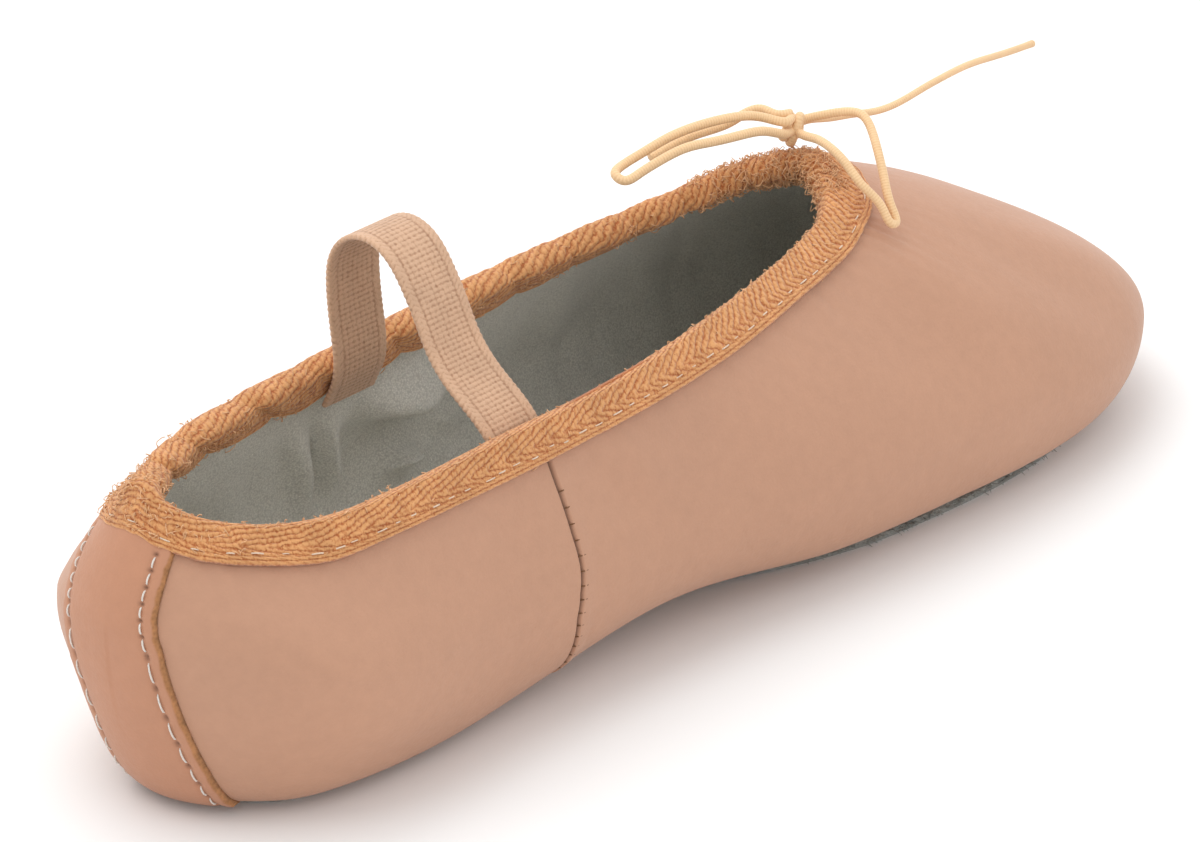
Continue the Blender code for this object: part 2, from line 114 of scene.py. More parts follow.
Rib = namedtuple("Rib", "name sole_along sole_half wide_along wide_half wide_high "
                        "collar_along collar_half collar_high")
RIBS = (
    Rib("heel middle", 0.045, 0.000, 0.000, 0.000, 0.61, 0.033, 0.000, 1.005),
    Rib("heel round", 0.078, 0.360, 0.032, 0.460, 0.565, 0.042, 0.150, 0.934),
    Rib("heel side", 0.115, 0.445, 0.100, 0.738, 0.465, 0.082, 0.306, 0.866),
    Rib("quarter", 0.210, 0.505, 0.210, 0.762, 0.39, 0.150, 0.466, 0.860),
    Rib("waist", 0.320, 0.375, 0.330, 0.778, 0.36, 0.295, 0.505, 0.868),
    Rib("side seam", 0.440, 0.385, 0.450, 0.836, 0.35, 0.428, 0.497, 0.882),
    Rib("behind ball", 0.570, 0.620, 0.570, 0.940, 0.33, 0.537, 0.430, 0.900),
    Rib("ball", 0.690, 0.740, 0.690, 0.985, 0.330, 0.620, 0.340, 0.921),
    Rib("toe side", 0.800, 0.745, 0.810, 0.980, 0.278, 0.660, 0.262, 0.950),
    Rib("toe corner", 0.895, 0.545, 0.923, 0.775, 0.275, 0.683, 0.150, 0.978),
    Rib("toe front", 0.940, 0.195, 0.988, 0.340, 0.228, 0.694, 0.055, 0.995),
    Rib("toe middle", 0.945, 0.000, 1.000, 0.000, 0.185, 0.696, 0.000, 1.000),
)
MIRRORED = np.array([1, -1, 1, -1, 1, 1, -1, 1])
THROAT_ALONG = RIBS[-1].collar_along

StrapFold = namedtuple("StrapFold", "across rise")
STRAP_FOLDS = (
    StrapFold(0.72, 0.06),
    StrapFold(0.45, 0.20),
    StrapFold(0.23, 0.38),
    StrapFold(0.10, 0.56),
    StrapFold(-0.06, 0.76),
    StrapFold(-0.30, 0.95),
    StrapFold(-0.54, 1.00),
    StrapFold(-0.80, 0.94),
    StrapFold(-0.97, 0.78),
    StrapFold(-1.01, 0.54),
    StrapFold(-0.98, 0.28),
)

# Cord routes, each point (along from the heel, across to the near side, high) in metres
LOOP_BACK = (
    (0.1644, -0.0032, 0.0646), (0.1616, -0.0056, 0.0656), (0.1572, -0.0074, 0.0668),
    (0.1506, -0.0096, 0.0670), (0.1433, -0.0116, 0.0662), (0.1377, -0.0130, 0.0646),
    (0.1335, -0.0138, 0.0634), (0.1315, -0.0130, 0.0629), (0.1316, -0.0114, 0.0623),
    (0.1341, -0.0102, 0.0629), (0.1381, -0.0088, 0.0645), (0.1429, -0.0074, 0.0656),
    (0.1483, -0.0060, 0.0654), (0.1542, -0.0044, 0.0652), (0.1588, -0.0032, 0.0647),
    (0.1644, -0.0028, 0.0626),
)
END_BACK = (
    (0.1646, -0.0059, 0.0652), (0.1639, -0.0082, 0.0657), (0.1622, -0.0102, 0.0651),
    (0.1602, -0.0116, 0.0638), (0.1558, -0.0126, 0.0633), (0.1510, -0.0134, 0.0633),
    (0.1465, -0.0144, 0.0625), (0.1427, -0.0152, 0.0616),
)
LOOP_FRONT = (
    (0.1698, -0.0035, 0.0633), (0.1717, -0.0004, 0.0644), (0.1732, 0.0024, 0.0652),
    (0.1741, 0.0054, 0.0653), (0.1732, 0.0084, 0.0638), (0.1712, 0.0114, 0.0618),
    (0.1690, 0.0149, 0.0578), (0.1677, 0.0177, 0.0536), (0.1672, 0.0190, 0.0512),
    (0.1662, 0.0191, 0.0514), (0.1652, 0.0177, 0.0543), (0.1637, 0.0146, 0.0580),
    (0.1639, 0.0102, 0.0613), (0.1649, 0.0056, 0.0626), (0.1657, 0.0022, 0.0626),
    (0.1660, -0.0001, 0.0623),
)
END_FRONT = (
    (0.1698, -0.0049, 0.0619), (0.1799, -0.0064, 0.0593), (0.1854, -0.0060, 0.0583),
    (0.1918, -0.0056, 0.0570), (0.1977, -0.0052, 0.0569), (0.2034, -0.0049, 0.0576),
    (0.2090, -0.0047, 0.0581), (0.2158, -0.0047, 0.0582), (0.2255, -0.0049, 0.0571),
    (0.2352, -0.0050, 0.0562),
)

# The bow's cords: node, route, length, share of the full thickness and what the far end is
BowCord = namedtuple("BowCord", "node route length slim far_end")
BOW_CORDS = (
    BowCord("bow_loop_back", LOOP_BACK, 0.078, 1.00, "object"),
    BowCord("bow_end_back", END_BACK, 0.030, 1.00, "bare"),
    BowCord("bow_loop_front", LOOP_FRONT, 0.064, 0.94, "object"),
    BowCord("bow_end_front", END_FRONT, 0.069, 0.78, "bare"),
)

# The middle of the knot, which every strand is led into, as (along, across)
KNOT_HEART = (0.1670, -0.0040)
# The cord's sides, steps and ribs, its rounded ends, and the turns and lean of the wrap
CORD_SIDES = 16
CORD_STEP = 0.00025
CORD_RIB = 0.00050
END_ROUNDING = 0.0004
WRAP_TURNS = 2
WRAP_LEAN = 0.18

# The side seam, as the skin's u at each v on the near side
SEAM_V = (-1.0, 0.0, 0.40, 0.60, 0.75, 0.90, 1.06, 1.22, 1.40, 1.60, 1.80, 2.0)
SEAM_U = (0.1680, 0.1668, 0.1640, 0.1624, 0.1612, 0.1603, 0.1616, 0.1647, 0.1675, 0.1714,
          0.1750, 0.1776)
SEAM_MIDDLE = 0.1640
SEAM_REACH = 0.070
SEAM_CLOSE = 0.0030

# Folds of the leather: a trough where depth is above zero, else a ridge
Fold = namedtuple("Fold", "u_from v_from u_to v_to width depth")
LEATHER_FOLDS = (
    Fold(0.184, 1.75, 0.192, 1.30, 0.0050, 0.0006),
    Fold(0.196, 1.78, 0.206, 1.40, 0.0045, -0.0003),
    Fold(0.152, 1.75, 0.150, 1.45, 0.0040, 0.0003),
    Fold(0.215, 1.70, 0.245, 1.15, 0.0080, 0.0004),
    Fold(0.300, 1.72, 0.345, 1.25, 0.0100, 0.0006),
    Fold(0.335, 1.80, 0.385, 1.30, 0.0080, -0.0004),
    Fold(0.250, 0.95, 0.330, 0.85, 0.0080, 0.0004),
    Fold(0.395, 1.55, 0.425, 1.10, 0.0090, 0.0007),
    Fold(0.430, 1.60, 0.455, 1.05, 0.0070, -0.0004),
    Fold(0.350, 1.05, 0.385, 0.55, 0.0070, 0.0004),
    Fold(0.060, 0.55, 0.120, 0.45, 0.0060, 0.0005),
    Fold(0.040, 1.55, 0.090, 1.50, 0.0060, 0.0003),
    Fold(0.660, 1.75, 0.630, 1.20, 0.0090, 0.0006),
    Fold(0.740, 1.70, 0.765, 1.20, 0.0070, 0.0006),
    Fold(0.855, 1.75, 0.870, 1.35, 0.0060, 0.0006),
    Fold(0.905, 1.60, 0.925, 1.15, 0.0060, 0.0007),
    Fold(0.560, 1.60, 0.540, 1.10, 0.0080, 0.0005),
    Fold(0.920, 0.95, 0.992, 0.88, 0.0065, -0.0011),
)
LINING_FOLDS = (
    Fold(0.8380, 1.62, 0.8360, 0.80, 0.0009, 0.0012),
    Fold(0.8322, 1.60, 0.8306, 0.85, 0.0021, -0.0030),
    Fold(0.8436, 1.60, 0.8420, 0.80, 0.0028, -0.0026),
    Fold(0.8220, 1.52, 0.7780, 1.46, 0.0052, -0.0060),
    Fold(0.8080, 0.93, 0.7930, 0.82, 0.0042, -0.0054),
    Fold(0.7840, 1.10, 0.7660, 0.84, 0.0040, -0.0012),
    Fold(0.8900, 1.60, 0.8720, 1.00, 0.0090, -0.0008),
    Fold(0.7300, 1.60, 0.7050, 1.05, 0.0080, -0.0012),
    Fold(0.6800, 1.50, 0.6650, 0.90, 0.0060, -0.0014),
    Fold(0.6250, 1.40, 0.6150, 0.80, 0.0060, -0.0010),
    Fold(0.9400, 1.50, 0.9300, 1.00, 0.0060, -0.0008),
)

# How strongly the collar tape is gathered at places round the rim
Gather = namedtuple("Gather", "u amount")
GATHERS = (
    Gather(0.000, 0.45), Gather(0.025, 0.28), Gather(0.050, 0.10), Gather(0.120, 0.05),
    Gather(0.300, 0.05), Gather(0.390, 0.12), Gather(0.430, 0.40), Gather(0.500, 0.60),
    Gather(0.600, 0.50), Gather(0.680, 0.42), Gather(0.740, 0.36), Gather(0.800, 0.40),
    Gather(0.850, 0.46), Gather(0.920, 0.55), Gather(0.970, 0.52), Gather(1.000, 0.45),
)
# Where the gathered tape is drawn in to a sharp crease, as u on its crest
TAPE_CREASES = (0.000, 0.028, 0.060, 0.120, 0.200, 0.290, 0.360, 0.410, 0.438, 0.470, 0.505,
                0.538, 0.572, 0.604, 0.640, 0.672, 0.704, 0.735, 0.762, 0.789, 0.812, 0.838,
                0.858, 0.884, 0.906, 0.930, 0.965, 1.000)
CREASE_SLANT = 0.012
# How far the tape stands over the rim, and how far down the outside its lower edge lies
TapePlace = namedtuple("TapePlace", "u over under")
TAPE_PLACES = (
    TapePlace(0.000, 0.0016, 0.0071), TapePlace(0.060, 0.0015, 0.0072),
    TapePlace(0.092, 0.0010, 0.0079), TapePlace(0.113, 0.0005, 0.0075),
    TapePlace(0.150, 0.0004, 0.0069), TapePlace(0.185, -0.0004, 0.0068),
    TapePlace(0.206, -0.0007, 0.0069), TapePlace(0.256, -0.0001, 0.0071),
    TapePlace(0.297, 0.0002, 0.0068), TapePlace(0.338, 0.0004, 0.0074),
    TapePlace(0.368, 0.0006, 0.0075), TapePlace(0.405, 0.0010, 0.0085),
    TapePlace(0.450, 0.0020, 0.0083), TapePlace(0.500, 0.0026, 0.0078),
    TapePlace(0.560, 0.0024, 0.0074), TapePlace(0.640, 0.0016, 0.0071),
    TapePlace(0.760, 0.0010, 0.0071), TapePlace(0.840, 0.0014, 0.0071),
    TapePlace(1.000, 0.0016, 0.0071),
)
# From one slanting row of the tape's weave to the next: how far along and how far across
TapeRow = namedtuple("TapeRow", "u along across")
TAPE_ROWS = (
    TapeRow(0.000, 0.0050, 0.00107), TapeRow(0.100, 0.0050, 0.00107),
    TapeRow(0.160, 0.0040, 0.00110), TapeRow(0.210, 0.0026, 0.00130),
    TapeRow(0.260, 0.0017, 0.00170), TapeRow(0.310, 0.0013, 0.00210),
    TapeRow(0.450, 0.0012, 0.00220), TapeRow(0.600, 0.0014, 0.00200),
    TapeRow(0.700, 0.0020, 0.00160), TapeRow(0.800, 0.0030, 0.00130),
    TapeRow(0.900, 0.0042, 0.00110), TapeRow(1.000, 0.0050, 0.00107),
)


SEED = 20

# How the tape's white thread and its loose fibres differ in colour from new thread and tape
TAPE_THREAD_TINT = (1.0, 0.84, 0.70)
LOOSE_FIBRE_TINT = (1.15, 1.35, 1.7)
SEAM_THREAD_SHADE = 0.45


class SlipperSizes(bpy.types.PropertyGroup):
    """Sizes of the slipper's trimmings"""

    cord_diameter: bpy.props.FloatProperty(
        name="Cord diameter", description="Thickness of the drawstring",
        default=0.00165, min=0.001, max=0.004, subtype="DISTANCE", unit="LENGTH", precision=4)
    thread_diameter: bpy.props.FloatProperty(
        name="Thread diameter", description="Thickness of the white sewing thread",
        default=0.00031, min=0.0002, max=0.001, subtype="DISTANCE", unit="LENGTH", precision=5)
    stitch_step: bpy.props.FloatProperty(
        name="Stitch step", description="Length from one needle hole to the next",
        default=0.0034, min=0.001, max=0.008, subtype="DISTANCE", unit="LENGTH", precision=4)
    stitch_inset: bpy.props.FloatProperty(
        name="Stitch inset", description="How far the strip's stitching lies in from its edge",
        default=0.0026, min=0.001, max=0.006, subtype="DISTANCE", unit="LENGTH", precision=4)
    tape_pucker: bpy.props.FloatProperty(
        name="Tape pucker", description="How far the gathered tape bulges out",
        default=0.0017, min=0.0, max=0.004, subtype="DISTANCE", unit="LENGTH", precision=4)
    tape_rib: bpy.props.FloatProperty(
        name="Tape rib", description="Height of the ribs woven in the collar tape",
        default=0.00020, min=0.0, max=0.001, subtype="DISTANCE", unit="LENGTH", precision=5)
    strap_rib: bpy.props.FloatProperty(
        name="Strap rib", description="Height of the ribs woven in the elastic strap",
        default=0.00010, min=0.0, max=0.001, subtype="DISTANCE", unit="LENGTH", precision=5)
    fibre_count: bpy.props.IntProperty(
        name="Fibre count", description="Number of loose fibres on the collar tape",
        default=1900, min=0, max=4000)
    sole_fibre_count: bpy.props.IntProperty(
        name="Sole fibre count", description="Number of loose fibres on the sole's edge",
        default=1500, min=0, max=4000)
    fibre_length: bpy.props.FloatProperty(
        name="Fibre length", description="Usual length of a loose fibre",
        default=0.0034, min=0.001, max=0.010, subtype="DISTANCE", unit="LENGTH", precision=4)


class SlipperColours(bpy.types.PropertyGroup):
    """Colours of the slipper's materials"""

    leather: bpy.props.FloatVectorProperty(
        name="Leather", description="Colour of the upper's leather",
        default=(0.500, 0.272, 0.175), size=3, min=0.0, max=1.0, subtype="COLOR")
    strip: bpy.props.FloatVectorProperty(
        name="Heel strip", description="Colour of the leather strip on the heel",
        default=(0.490, 0.235, 0.138), size=3, min=0.0, max=1.0, subtype="COLOR")
    cut_edge: bpy.props.FloatVectorProperty(
        name="Cut edge", description="Colour of the leather where it is cut",
        default=(0.400, 0.180, 0.068), size=3, min=0.0, max=1.0, subtype="COLOR")
    tape_crest: bpy.props.FloatVectorProperty(
        name="Tape crest", description="Colour of the collar tape's ribs",
        default=(0.700, 0.350, 0.145), size=3, min=0.0, max=1.0, subtype="COLOR")
    # Painted shade in the tape's grooves
    tape_groove_shade: bpy.props.FloatVectorProperty(
        name="Tape groove shade", description="Colour between the collar tape's ribs",
        default=(0.400, 0.115, 0.034), size=3, min=0.0, max=1.0, subtype="COLOR")
    elastic_crest: bpy.props.FloatVectorProperty(
        name="Elastic crest", description="Colour of the strap's ribs",
        default=(0.630, 0.400, 0.260), size=3, min=0.0, max=1.0, subtype="COLOR")
    # Painted shade between the strap's ribs
    elastic_groove_shade: bpy.props.FloatVectorProperty(
        name="Elastic groove shade", description="Colour between the strap's ribs",
        default=(0.350, 0.180, 0.100), size=3, min=0.0, max=1.0, subtype="COLOR")
    cord: bpy.props.FloatVectorProperty(
        name="Cord", description="Colour of the drawstring",
        default=(0.860, 0.590, 0.335), size=3, min=0.0, max=1.0, subtype="COLOR")
    suede: bpy.props.FloatVectorProperty(
        name="Suede", description="Colour of the sole",
        default=(0.270, 0.275, 0.250), size=3, min=0.0, max=1.0, subtype="COLOR")
    lining: bpy.props.FloatVectorProperty(
        name="Lining", description="Colour of the knitted lining",
        default=(0.700, 0.690, 0.630), size=3, min=0.0, max=1.0, subtype="COLOR")
    thread: bpy.props.FloatVectorProperty(
        name="Thread", description="Colour of the sewing thread",
        default=(0.760, 0.710, 0.650), size=3, min=0.0, max=1.0, subtype="COLOR")
    floor: bpy.props.FloatVectorProperty(
        name="Floor", description="Colour of the studio floor",
        default=(0.900, 0.900, 0.900), size=3, min=0.0, max=1.0, subtype="COLOR")


def place(along, across, high):
    # Shoe coordinates to world coordinates
    return np.stack([-np.asarray(across), LENGTH / 2 - np.asarray(along), np.asarray(high)], -1)


def curve_through(knots, rows, at, closed):
    # A smooth cubic through the rows, read at the given places on the knots
    knots = np.asarray(knots, float)
    rows = np.asarray(rows, float)
    count = len(knots)
    step = np.diff(knots)
    slope = np.diff(rows, axis=0) / step[:, None]
    system = np.zeros((count, count))
    right = np.zeros_like(rows)
    for i in range(1, count - 1):
        system[i, i - 1:i + 2] = (step[i - 1], 2 * (step[i - 1] + step[i]), step[i])
        right[i] = 6 * (slope[i] - slope[i - 1])
    system[0, 0] = system[-1, -1] = 1
    if closed:
        system[0, 1] = step[0]
        system[0, 0] = 2 * (step[0] + step[-1])
        system[0, -2] = step[-1]
        right[0] = 6 * (slope[0] - slope[-1])
        system[-1, 0] = -1
    bend = np.linalg.solve(system, right)
    at = np.mod(at, 1.0) if closed else np.asarray(at)
    i = np.clip(np.searchsorted(knots, at, side="right") - 1, 0, count - 2)
    h = step[i][..., None]
    a = (knots[i + 1] - at)[..., None] / h
    b = 1 - a
    return (a * rows[i] + b * rows[i + 1]
            + ((a ** 3 - a) * bend[i] + (b ** 3 - b) * bend[i + 1]) * h ** 2 / 6)


def all_ribs():
    # The ribs of the near side, then those of the far side back to the heel
    near = np.array([rib[1:] for rib in RIBS])
    return np.vstack([near, near[-2:0:-1] * MIRRORED, near[:1]])


def rib_knots():
    # Where each rib stands on the outline, as a share of the way round
    ribs = all_ribs()
    outline = ribs[:, 2:4] * (LENGTH, BALL_WIDTH / 2)
    gone = lengths_along(outline)
    return gone / gone[-1], ribs


def lengths_along(points):
    # The length gone at each point of a line
    return np.r_[0, np.cumsum(np.linalg.norm(np.diff(points, axis=0), axis=1))]


def lift(along):
    # How far the underside stands off the ground: the arch and the toe spring
    share = np.asarray(along) / LENGTH
    arch = np.clip((share - ARCH_FROM) / (ARCH_TO - ARCH_FROM), 0, 1)
    toe = np.clip((share - SPRING_FROM) / (RIBS[-1].sole_along - SPRING_FROM), 0, None)
    return ARCH_LIFT * 0.5 * (1 - np.cos(2 * np.pi * arch)) + TOE_SPRING * toe ** 2


def collar_level(along):
    # The height that a rib's heights are shares of: the heel's, blending to the instep's
    share = np.clip(along / LENGTH / THROAT_ALONG, 0, 1)[..., None]
    return (HEEL_HEIGHT * (1 - share) + INSTEP_HEIGHT * share)[..., 0]


def rib_lines(u):
    # The three lines of the skin at u round the shoe: sole edge, widest line and rim
    knots, ribs = rib_knots()
    row = curve_through(knots, ribs, u, True)
    (sole_along, sole_half, wide_along, wide_half,
     wide_high, collar_along, collar_half, collar_high) = np.moveaxis(row, -1, 0)
    half = BALL_WIDTH / 2
    level = collar_level(collar_along * LENGTH)
    sole_along = sole_along * LENGTH
    underside = SOLE_THICK + CLEARANCE + lift(sole_along)
    sole = np.stack([sole_along, sole_half * half, underside], -1)
    wide = np.stack([wide_along * LENGTH, wide_half * half, wide_high * level], -1)
    collar = np.stack([collar_along * LENGTH, collar_half * half, collar_high * level], -1)
    return sole, wide, collar


def inward(u):
    # Level direction from the sole edge towards the middle of the sole
    before = rib_lines(u - NUDGE)[0]
    after = rib_lines(u + NUDGE)[0]
    way = (after - before)[..., :2]
    way = way / np.linalg.norm(way, axis=-1, keepdims=True)
    return np.stack([way[..., 1], -way[..., 0]], -1)


def unit(vector):
    return vector / np.maximum(np.linalg.norm(vector, axis=-1, keepdims=True), 1e-12)


def bezier(a, b, c, d, t):
    t = t[..., None]
    return (1 - t) ** 3 * a + 3 * (1 - t) ** 2 * t * b + 3 * (1 - t) * t * t * c + t ** 3 * d


def skin(u, v):
    # The outside of the upper. v runs from -1 at the edge of the leather turned under the
    # foot, to 0 at the sole edge, 1 at the widest line and 2 at the rim.
    u, v = np.broadcast_arrays(np.asarray(u, float), np.asarray(v, float))
    sole, wide, collar = rib_lines(u)
    up = np.array([0, 0, 1.0])
    out = (wide - sole) * (1, 1, 0)
    rise = (wide - sole) * up
    low = bezier(sole, sole + out * LOW_OUT, wide - rise * LOW_DOWN, wide, np.clip(v, 0, 1))
    span = collar - wide
    level_span = span * (1, 1, 0)
    reach = np.linalg.norm(level_span, axis=-1, keepdims=True)
    vamp = np.clip((reach - VAMP_FROM) / VAMP_OVER, 0, 1)
    way = unit(unit(span) * (1 - vamp) + unit(unit(level_span) + up * VAMP_SLOPE) * vamp)
    size = np.linalg.norm(span, axis=-1, keepdims=True)
    high = bezier(wide, wide + span * up * HIGH_UP, collar - way * size * HIGH_BACK,
                  collar, np.clip(v - 1, 0, 1))
    turned = sole.copy()
    turned[..., :2] += inward(u) * (LASTING_MARGIN * np.clip(-v, 0, 1))[..., None]
    turned[..., 2] = SOLE_THICK + CLEARANCE + lift(turned[..., 0])
    v = v[..., None]
    spot = np.where(v < 0, turned, np.where(v < 1, low, high))
    return place(spot[..., 0], spot[..., 1], spot[..., 2])


def normal(u, v):
    # Outward direction of the skin
    u, v = np.broadcast_arrays(np.asarray(u, float), np.asarray(v, float))
    round_way = skin(u + NUDGE, v) - skin(u - NUDGE, v)
    high_v = np.minimum(v + NUDGE * 4, 2)
    low_v = np.maximum(v - NUDGE * 4, -1)
    up_way = skin(u, high_v) - skin(u, low_v)
    return unit(np.cross(round_way, up_way))


def shell(u, v, offset):
    # The skin moved out, or in where offset is below zero
    return skin(u, v) + normal(u, v) * np.asarray(offset)[..., None]


def below_rim(u, downs):
    # The v at lengths down the rib from the rim, a row of lengths for each u
    table_v = np.linspace(2, 0.2, 60)
    line = skin(np.asarray(u)[:, None], table_v[None, :])
    gone = np.cumsum(np.linalg.norm(np.diff(line, axis=1), axis=-1), axis=1)
    gone = np.hstack([np.zeros((len(gone), 1)), gone])
    return np.array([np.interp(row, lengths, table_v) for row, lengths in zip(downs, gone)])


def rim_points(u, downs, outs):
    # Points down from the rim and out from the skin, or past the rim where down is below zero
    v = below_rim(u, np.maximum(downs, 0))
    spot = shell(u[:, None], v, outs)
    edge = np.full(len(u), 2.0)
    way = unit(skin(u, edge) - skin(u, edge - NUDGE * 8))
    return spot - way[:, None, :] * np.minimum(downs, 0)[..., None]


def wobble(u, counts, phases):
    # A smooth, uneven wave round the shoe, between about -1 and 1
    total = sum(np.sin(2 * np.pi * (n * u + p)) for n, p in zip(counts, phases))
    return total / len(counts) * 1.4


def step_up(value, start, end):
    # 0 below start, 1 over end, smooth between them
    share = np.clip((value - start) / (end - start), 0, 1)
    return share * share * (3 - 2 * share)


def hump(value, middle, width):
    return np.exp(-((value - middle) / width) ** 2)


def at_places(places, field, u):
    # A value listed at places round the shoe, read between them
    return np.interp(u % 1.0, [spot.u for spot in places], [getattr(spot, field) for spot in places])


def fold_relief(u, v, folds):
    # How far the folds push the skin in
    total = np.zeros(u.shape)
    for fold in folds:
        start = np.array([fold.u_from * SKIN_ROUND, fold.v_from * SKIN_UP])
        run = np.array([fold.u_to * SKIN_ROUND, fold.v_to * SKIN_UP]) - start
        x = u * SKIN_ROUND - start[0]
        y = v * SKIN_UP - start[1]
        share = np.clip((x * run[0] + y * run[1]) / (run @ run), 0, 1)
        away = np.hypot(x - run[0] * share, y - run[1] * share)
        total += fold.depth * np.exp(-(away / fold.width) ** 2) * (0.25 + np.sin(np.pi * share))
    return total


def grid_faces(rows, columns, round_closed, ring_closed=False):
    # Quads of a grid of points, joined round the columns or the rows where closed
    r = np.arange(rows if ring_closed else rows - 1)[:, None]
    c = np.arange(columns if round_closed else columns - 1)[None, :]
    above = (r + 1) % rows
    beside = (c + 1) % columns
    quads = np.stack([r * columns + c, r * columns + beside,
                      above * columns + beside, above * columns + c], -1)
    return quads.reshape(-1, 4).tolist()


def add_piece(name, points, faces, finish, nodes=(), masks=None):
    # A smooth mesh piece that rides on the shoe, with values per point for its material
    mesh = bpy.data.meshes.new(name)
    points = np.asarray(points, float).reshape(-1, 3)
    mesh.from_pydata(points.tolist(), [], faces)
    for label, values in (masks or {}).items():
        layer = mesh.attributes.new(label, "FLOAT", "POINT")
        layer.data.foreach_set("value", np.asarray(values, np.float32).ravel())
    mesh.shade_smooth()
    mesh.materials.append(finish)
    piece = bpy.data.objects.new(name, mesh)
    bpy.context.collection.objects.link(piece)
    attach(piece, "root")
    if nodes:
        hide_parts(*nodes)
    return piece


def carried_frames(line):
    # Two directions across a line at each of its points, carried along without twist
    ahead = unit(np.gradient(line, axis=0))
    side = np.cross(ahead[0], (0, 0, 1.0))
    if np.linalg.norm(side) < 0.1:
        side = np.cross(ahead[0], (1.0, 0, 0))
    sides = []
    for way in ahead:
        side = side - way * (side @ way)
        side = side / np.linalg.norm(side)
        sides.append(side)
    sides = np.array(sides)
    return sides, np.cross(ahead, sides)


def tube(line, radii, sides):
    # Points and faces of a round tube with closed ends
    first, second = carried_frames(line)
    turn = np.linspace(0, 2 * np.pi, sides, endpoint=False)
    spoke = np.cos(turn)[None, :, None] * first[:, None] + np.sin(turn)[None, :, None] * second[:, None]
    points = line[:, None] + spoke * radii[:, None, None]
    faces = grid_faces(len(line), sides, True)
    last = (len(line) - 1) * sides
    faces.append(list(range(sides))[::-1])
    faces.append(list(range(last, last + sides)))
    return points.reshape(-1, 3), faces


def small_tubes(lines, beside, radius, sides, taper=0.35):
    # Many short tubes in one mesh: lines is (count, steps, 3), beside a direction for each
    count, steps = lines.shape[:2]
    ahead = unit(np.gradient(lines, axis=1))
    first = unit(np.cross(ahead, beside[:, None, :]))
    second = np.cross(ahead, first)
    turn = np.linspace(0, 2 * np.pi, sides, endpoint=False)
    spoke = (np.cos(turn)[:, None] * first[:, :, None, :]
             + np.sin(turn)[:, None] * second[:, :, None, :])
    swell = np.full(steps, 1.0)
    swell[0] = swell[-1] = taper
    size = np.broadcast_to(np.reshape(radius, (-1, 1)), (count, steps)) * swell
    points = lines[:, :, None, :] + spoke * size[:, :, None, None]
    one = grid_faces(steps, sides, True)
    last = (steps - 1) * sides
    faces = []
    for k in range(count):
        start = k * steps * sides
        faces += [[start + i for i in quad] for quad in one]
        faces.append([start + i for i in range(sides)][::-1])
        faces.append([start + last + i for i in range(sides)])
    return points.reshape(-1, 3), faces


def smooth_route(points, step):
    # A smooth curve through the given points, read at an even step
    route = place(*np.array(points).T)
    gone = lengths_along(route)
    fine = curve_through(gone / gone[-1], route, np.linspace(0, 1, 400), False)
    length = lengths_along(fine)
    count = max(int(round(length[-1] / step)), 4)
    at = np.linspace(0, length[-1], count + 1)
    return np.stack([np.interp(at, length, fine[:, k]) for k in range(3)], -1)


def feed(tree, socket, value):
    if isinstance(value, bpy.types.NodeSocket):
        tree.links.new(value, socket)
    else:
        socket.default_value = value


def add_node(tree, kind, inputs, **settings):
    made = tree.nodes.new(kind)
    for name, value in settings.items():
        setattr(made, name, value)
    for name, value in inputs.items():
        feed(tree, made.inputs[name], value)
    return made


def math(tree, operation, a, b=0.0):
    return add_node(tree, "ShaderNodeMath", {0: a, 1: b}, operation=operation).outputs[0]


def mix_colour(tree, share, a, b, blend="MIX"):
    made = add_node(tree, "ShaderNodeMix", {0: share, 6: a, 7: b}, data_type="RGBA",
                    blend_type=blend)
    return made.outputs[2]


def remap(tree, value, low, high, to_low, to_high):
    inputs = {0: value, 1: low, 2: high, 3: to_low, 4: to_high}
    return add_node(tree, "ShaderNodeMapRange", inputs).outputs[0]


def point_value(tree, name):
    return add_node(tree, "ShaderNodeAttribute", {}, attribute_name=name).outputs["Fac"]


def object_place(tree):
    return add_node(tree, "ShaderNodeTexCoord", {}).outputs["Object"]


def new_group(name, inputs, outputs):
    tree = bpy.data.node_groups.new(name, "ShaderNodeTree")
    for label, kind, value in inputs:
        socket = tree.interface.new_socket(label, in_out="INPUT", socket_type=kind)
        if value is not None:
            socket.default_value = value
    for label, kind in outputs:
        tree.interface.new_socket(label, in_out="OUTPUT", socket_type=kind)
    return tree, tree.nodes.new("NodeGroupInput").outputs, tree.nodes.new("NodeGroupOutput").inputs


def mottle_group():
    # Uneven colour in soft patches: a tone near 1 that multiplies a colour
    tree, given, result = new_group(
        "Mottle",
        (("Place", "NodeSocketVector", None), ("Patch scale", "NodeSocketFloat", 40.0),
         ("Strength", "NodeSocketFloat", 0.06)),
        (("Tone", "NodeSocketFloat"),))
    soft = add_node(tree, "ShaderNodeTexNoise", {
        "Vector": given["Place"], "Scale": given["Patch scale"], "Detail": 3.0,
        "Roughness": 0.55}).outputs["Fac"]
    centred = math(tree, "SUBTRACT", soft, 0.5)
    swing = math(tree, "MULTIPLY", centred, math(tree, "MULTIPLY", given["Strength"], 4.0))
    feed(tree, result["Tone"], math(tree, "ADD", swing, 1.0))
    return tree


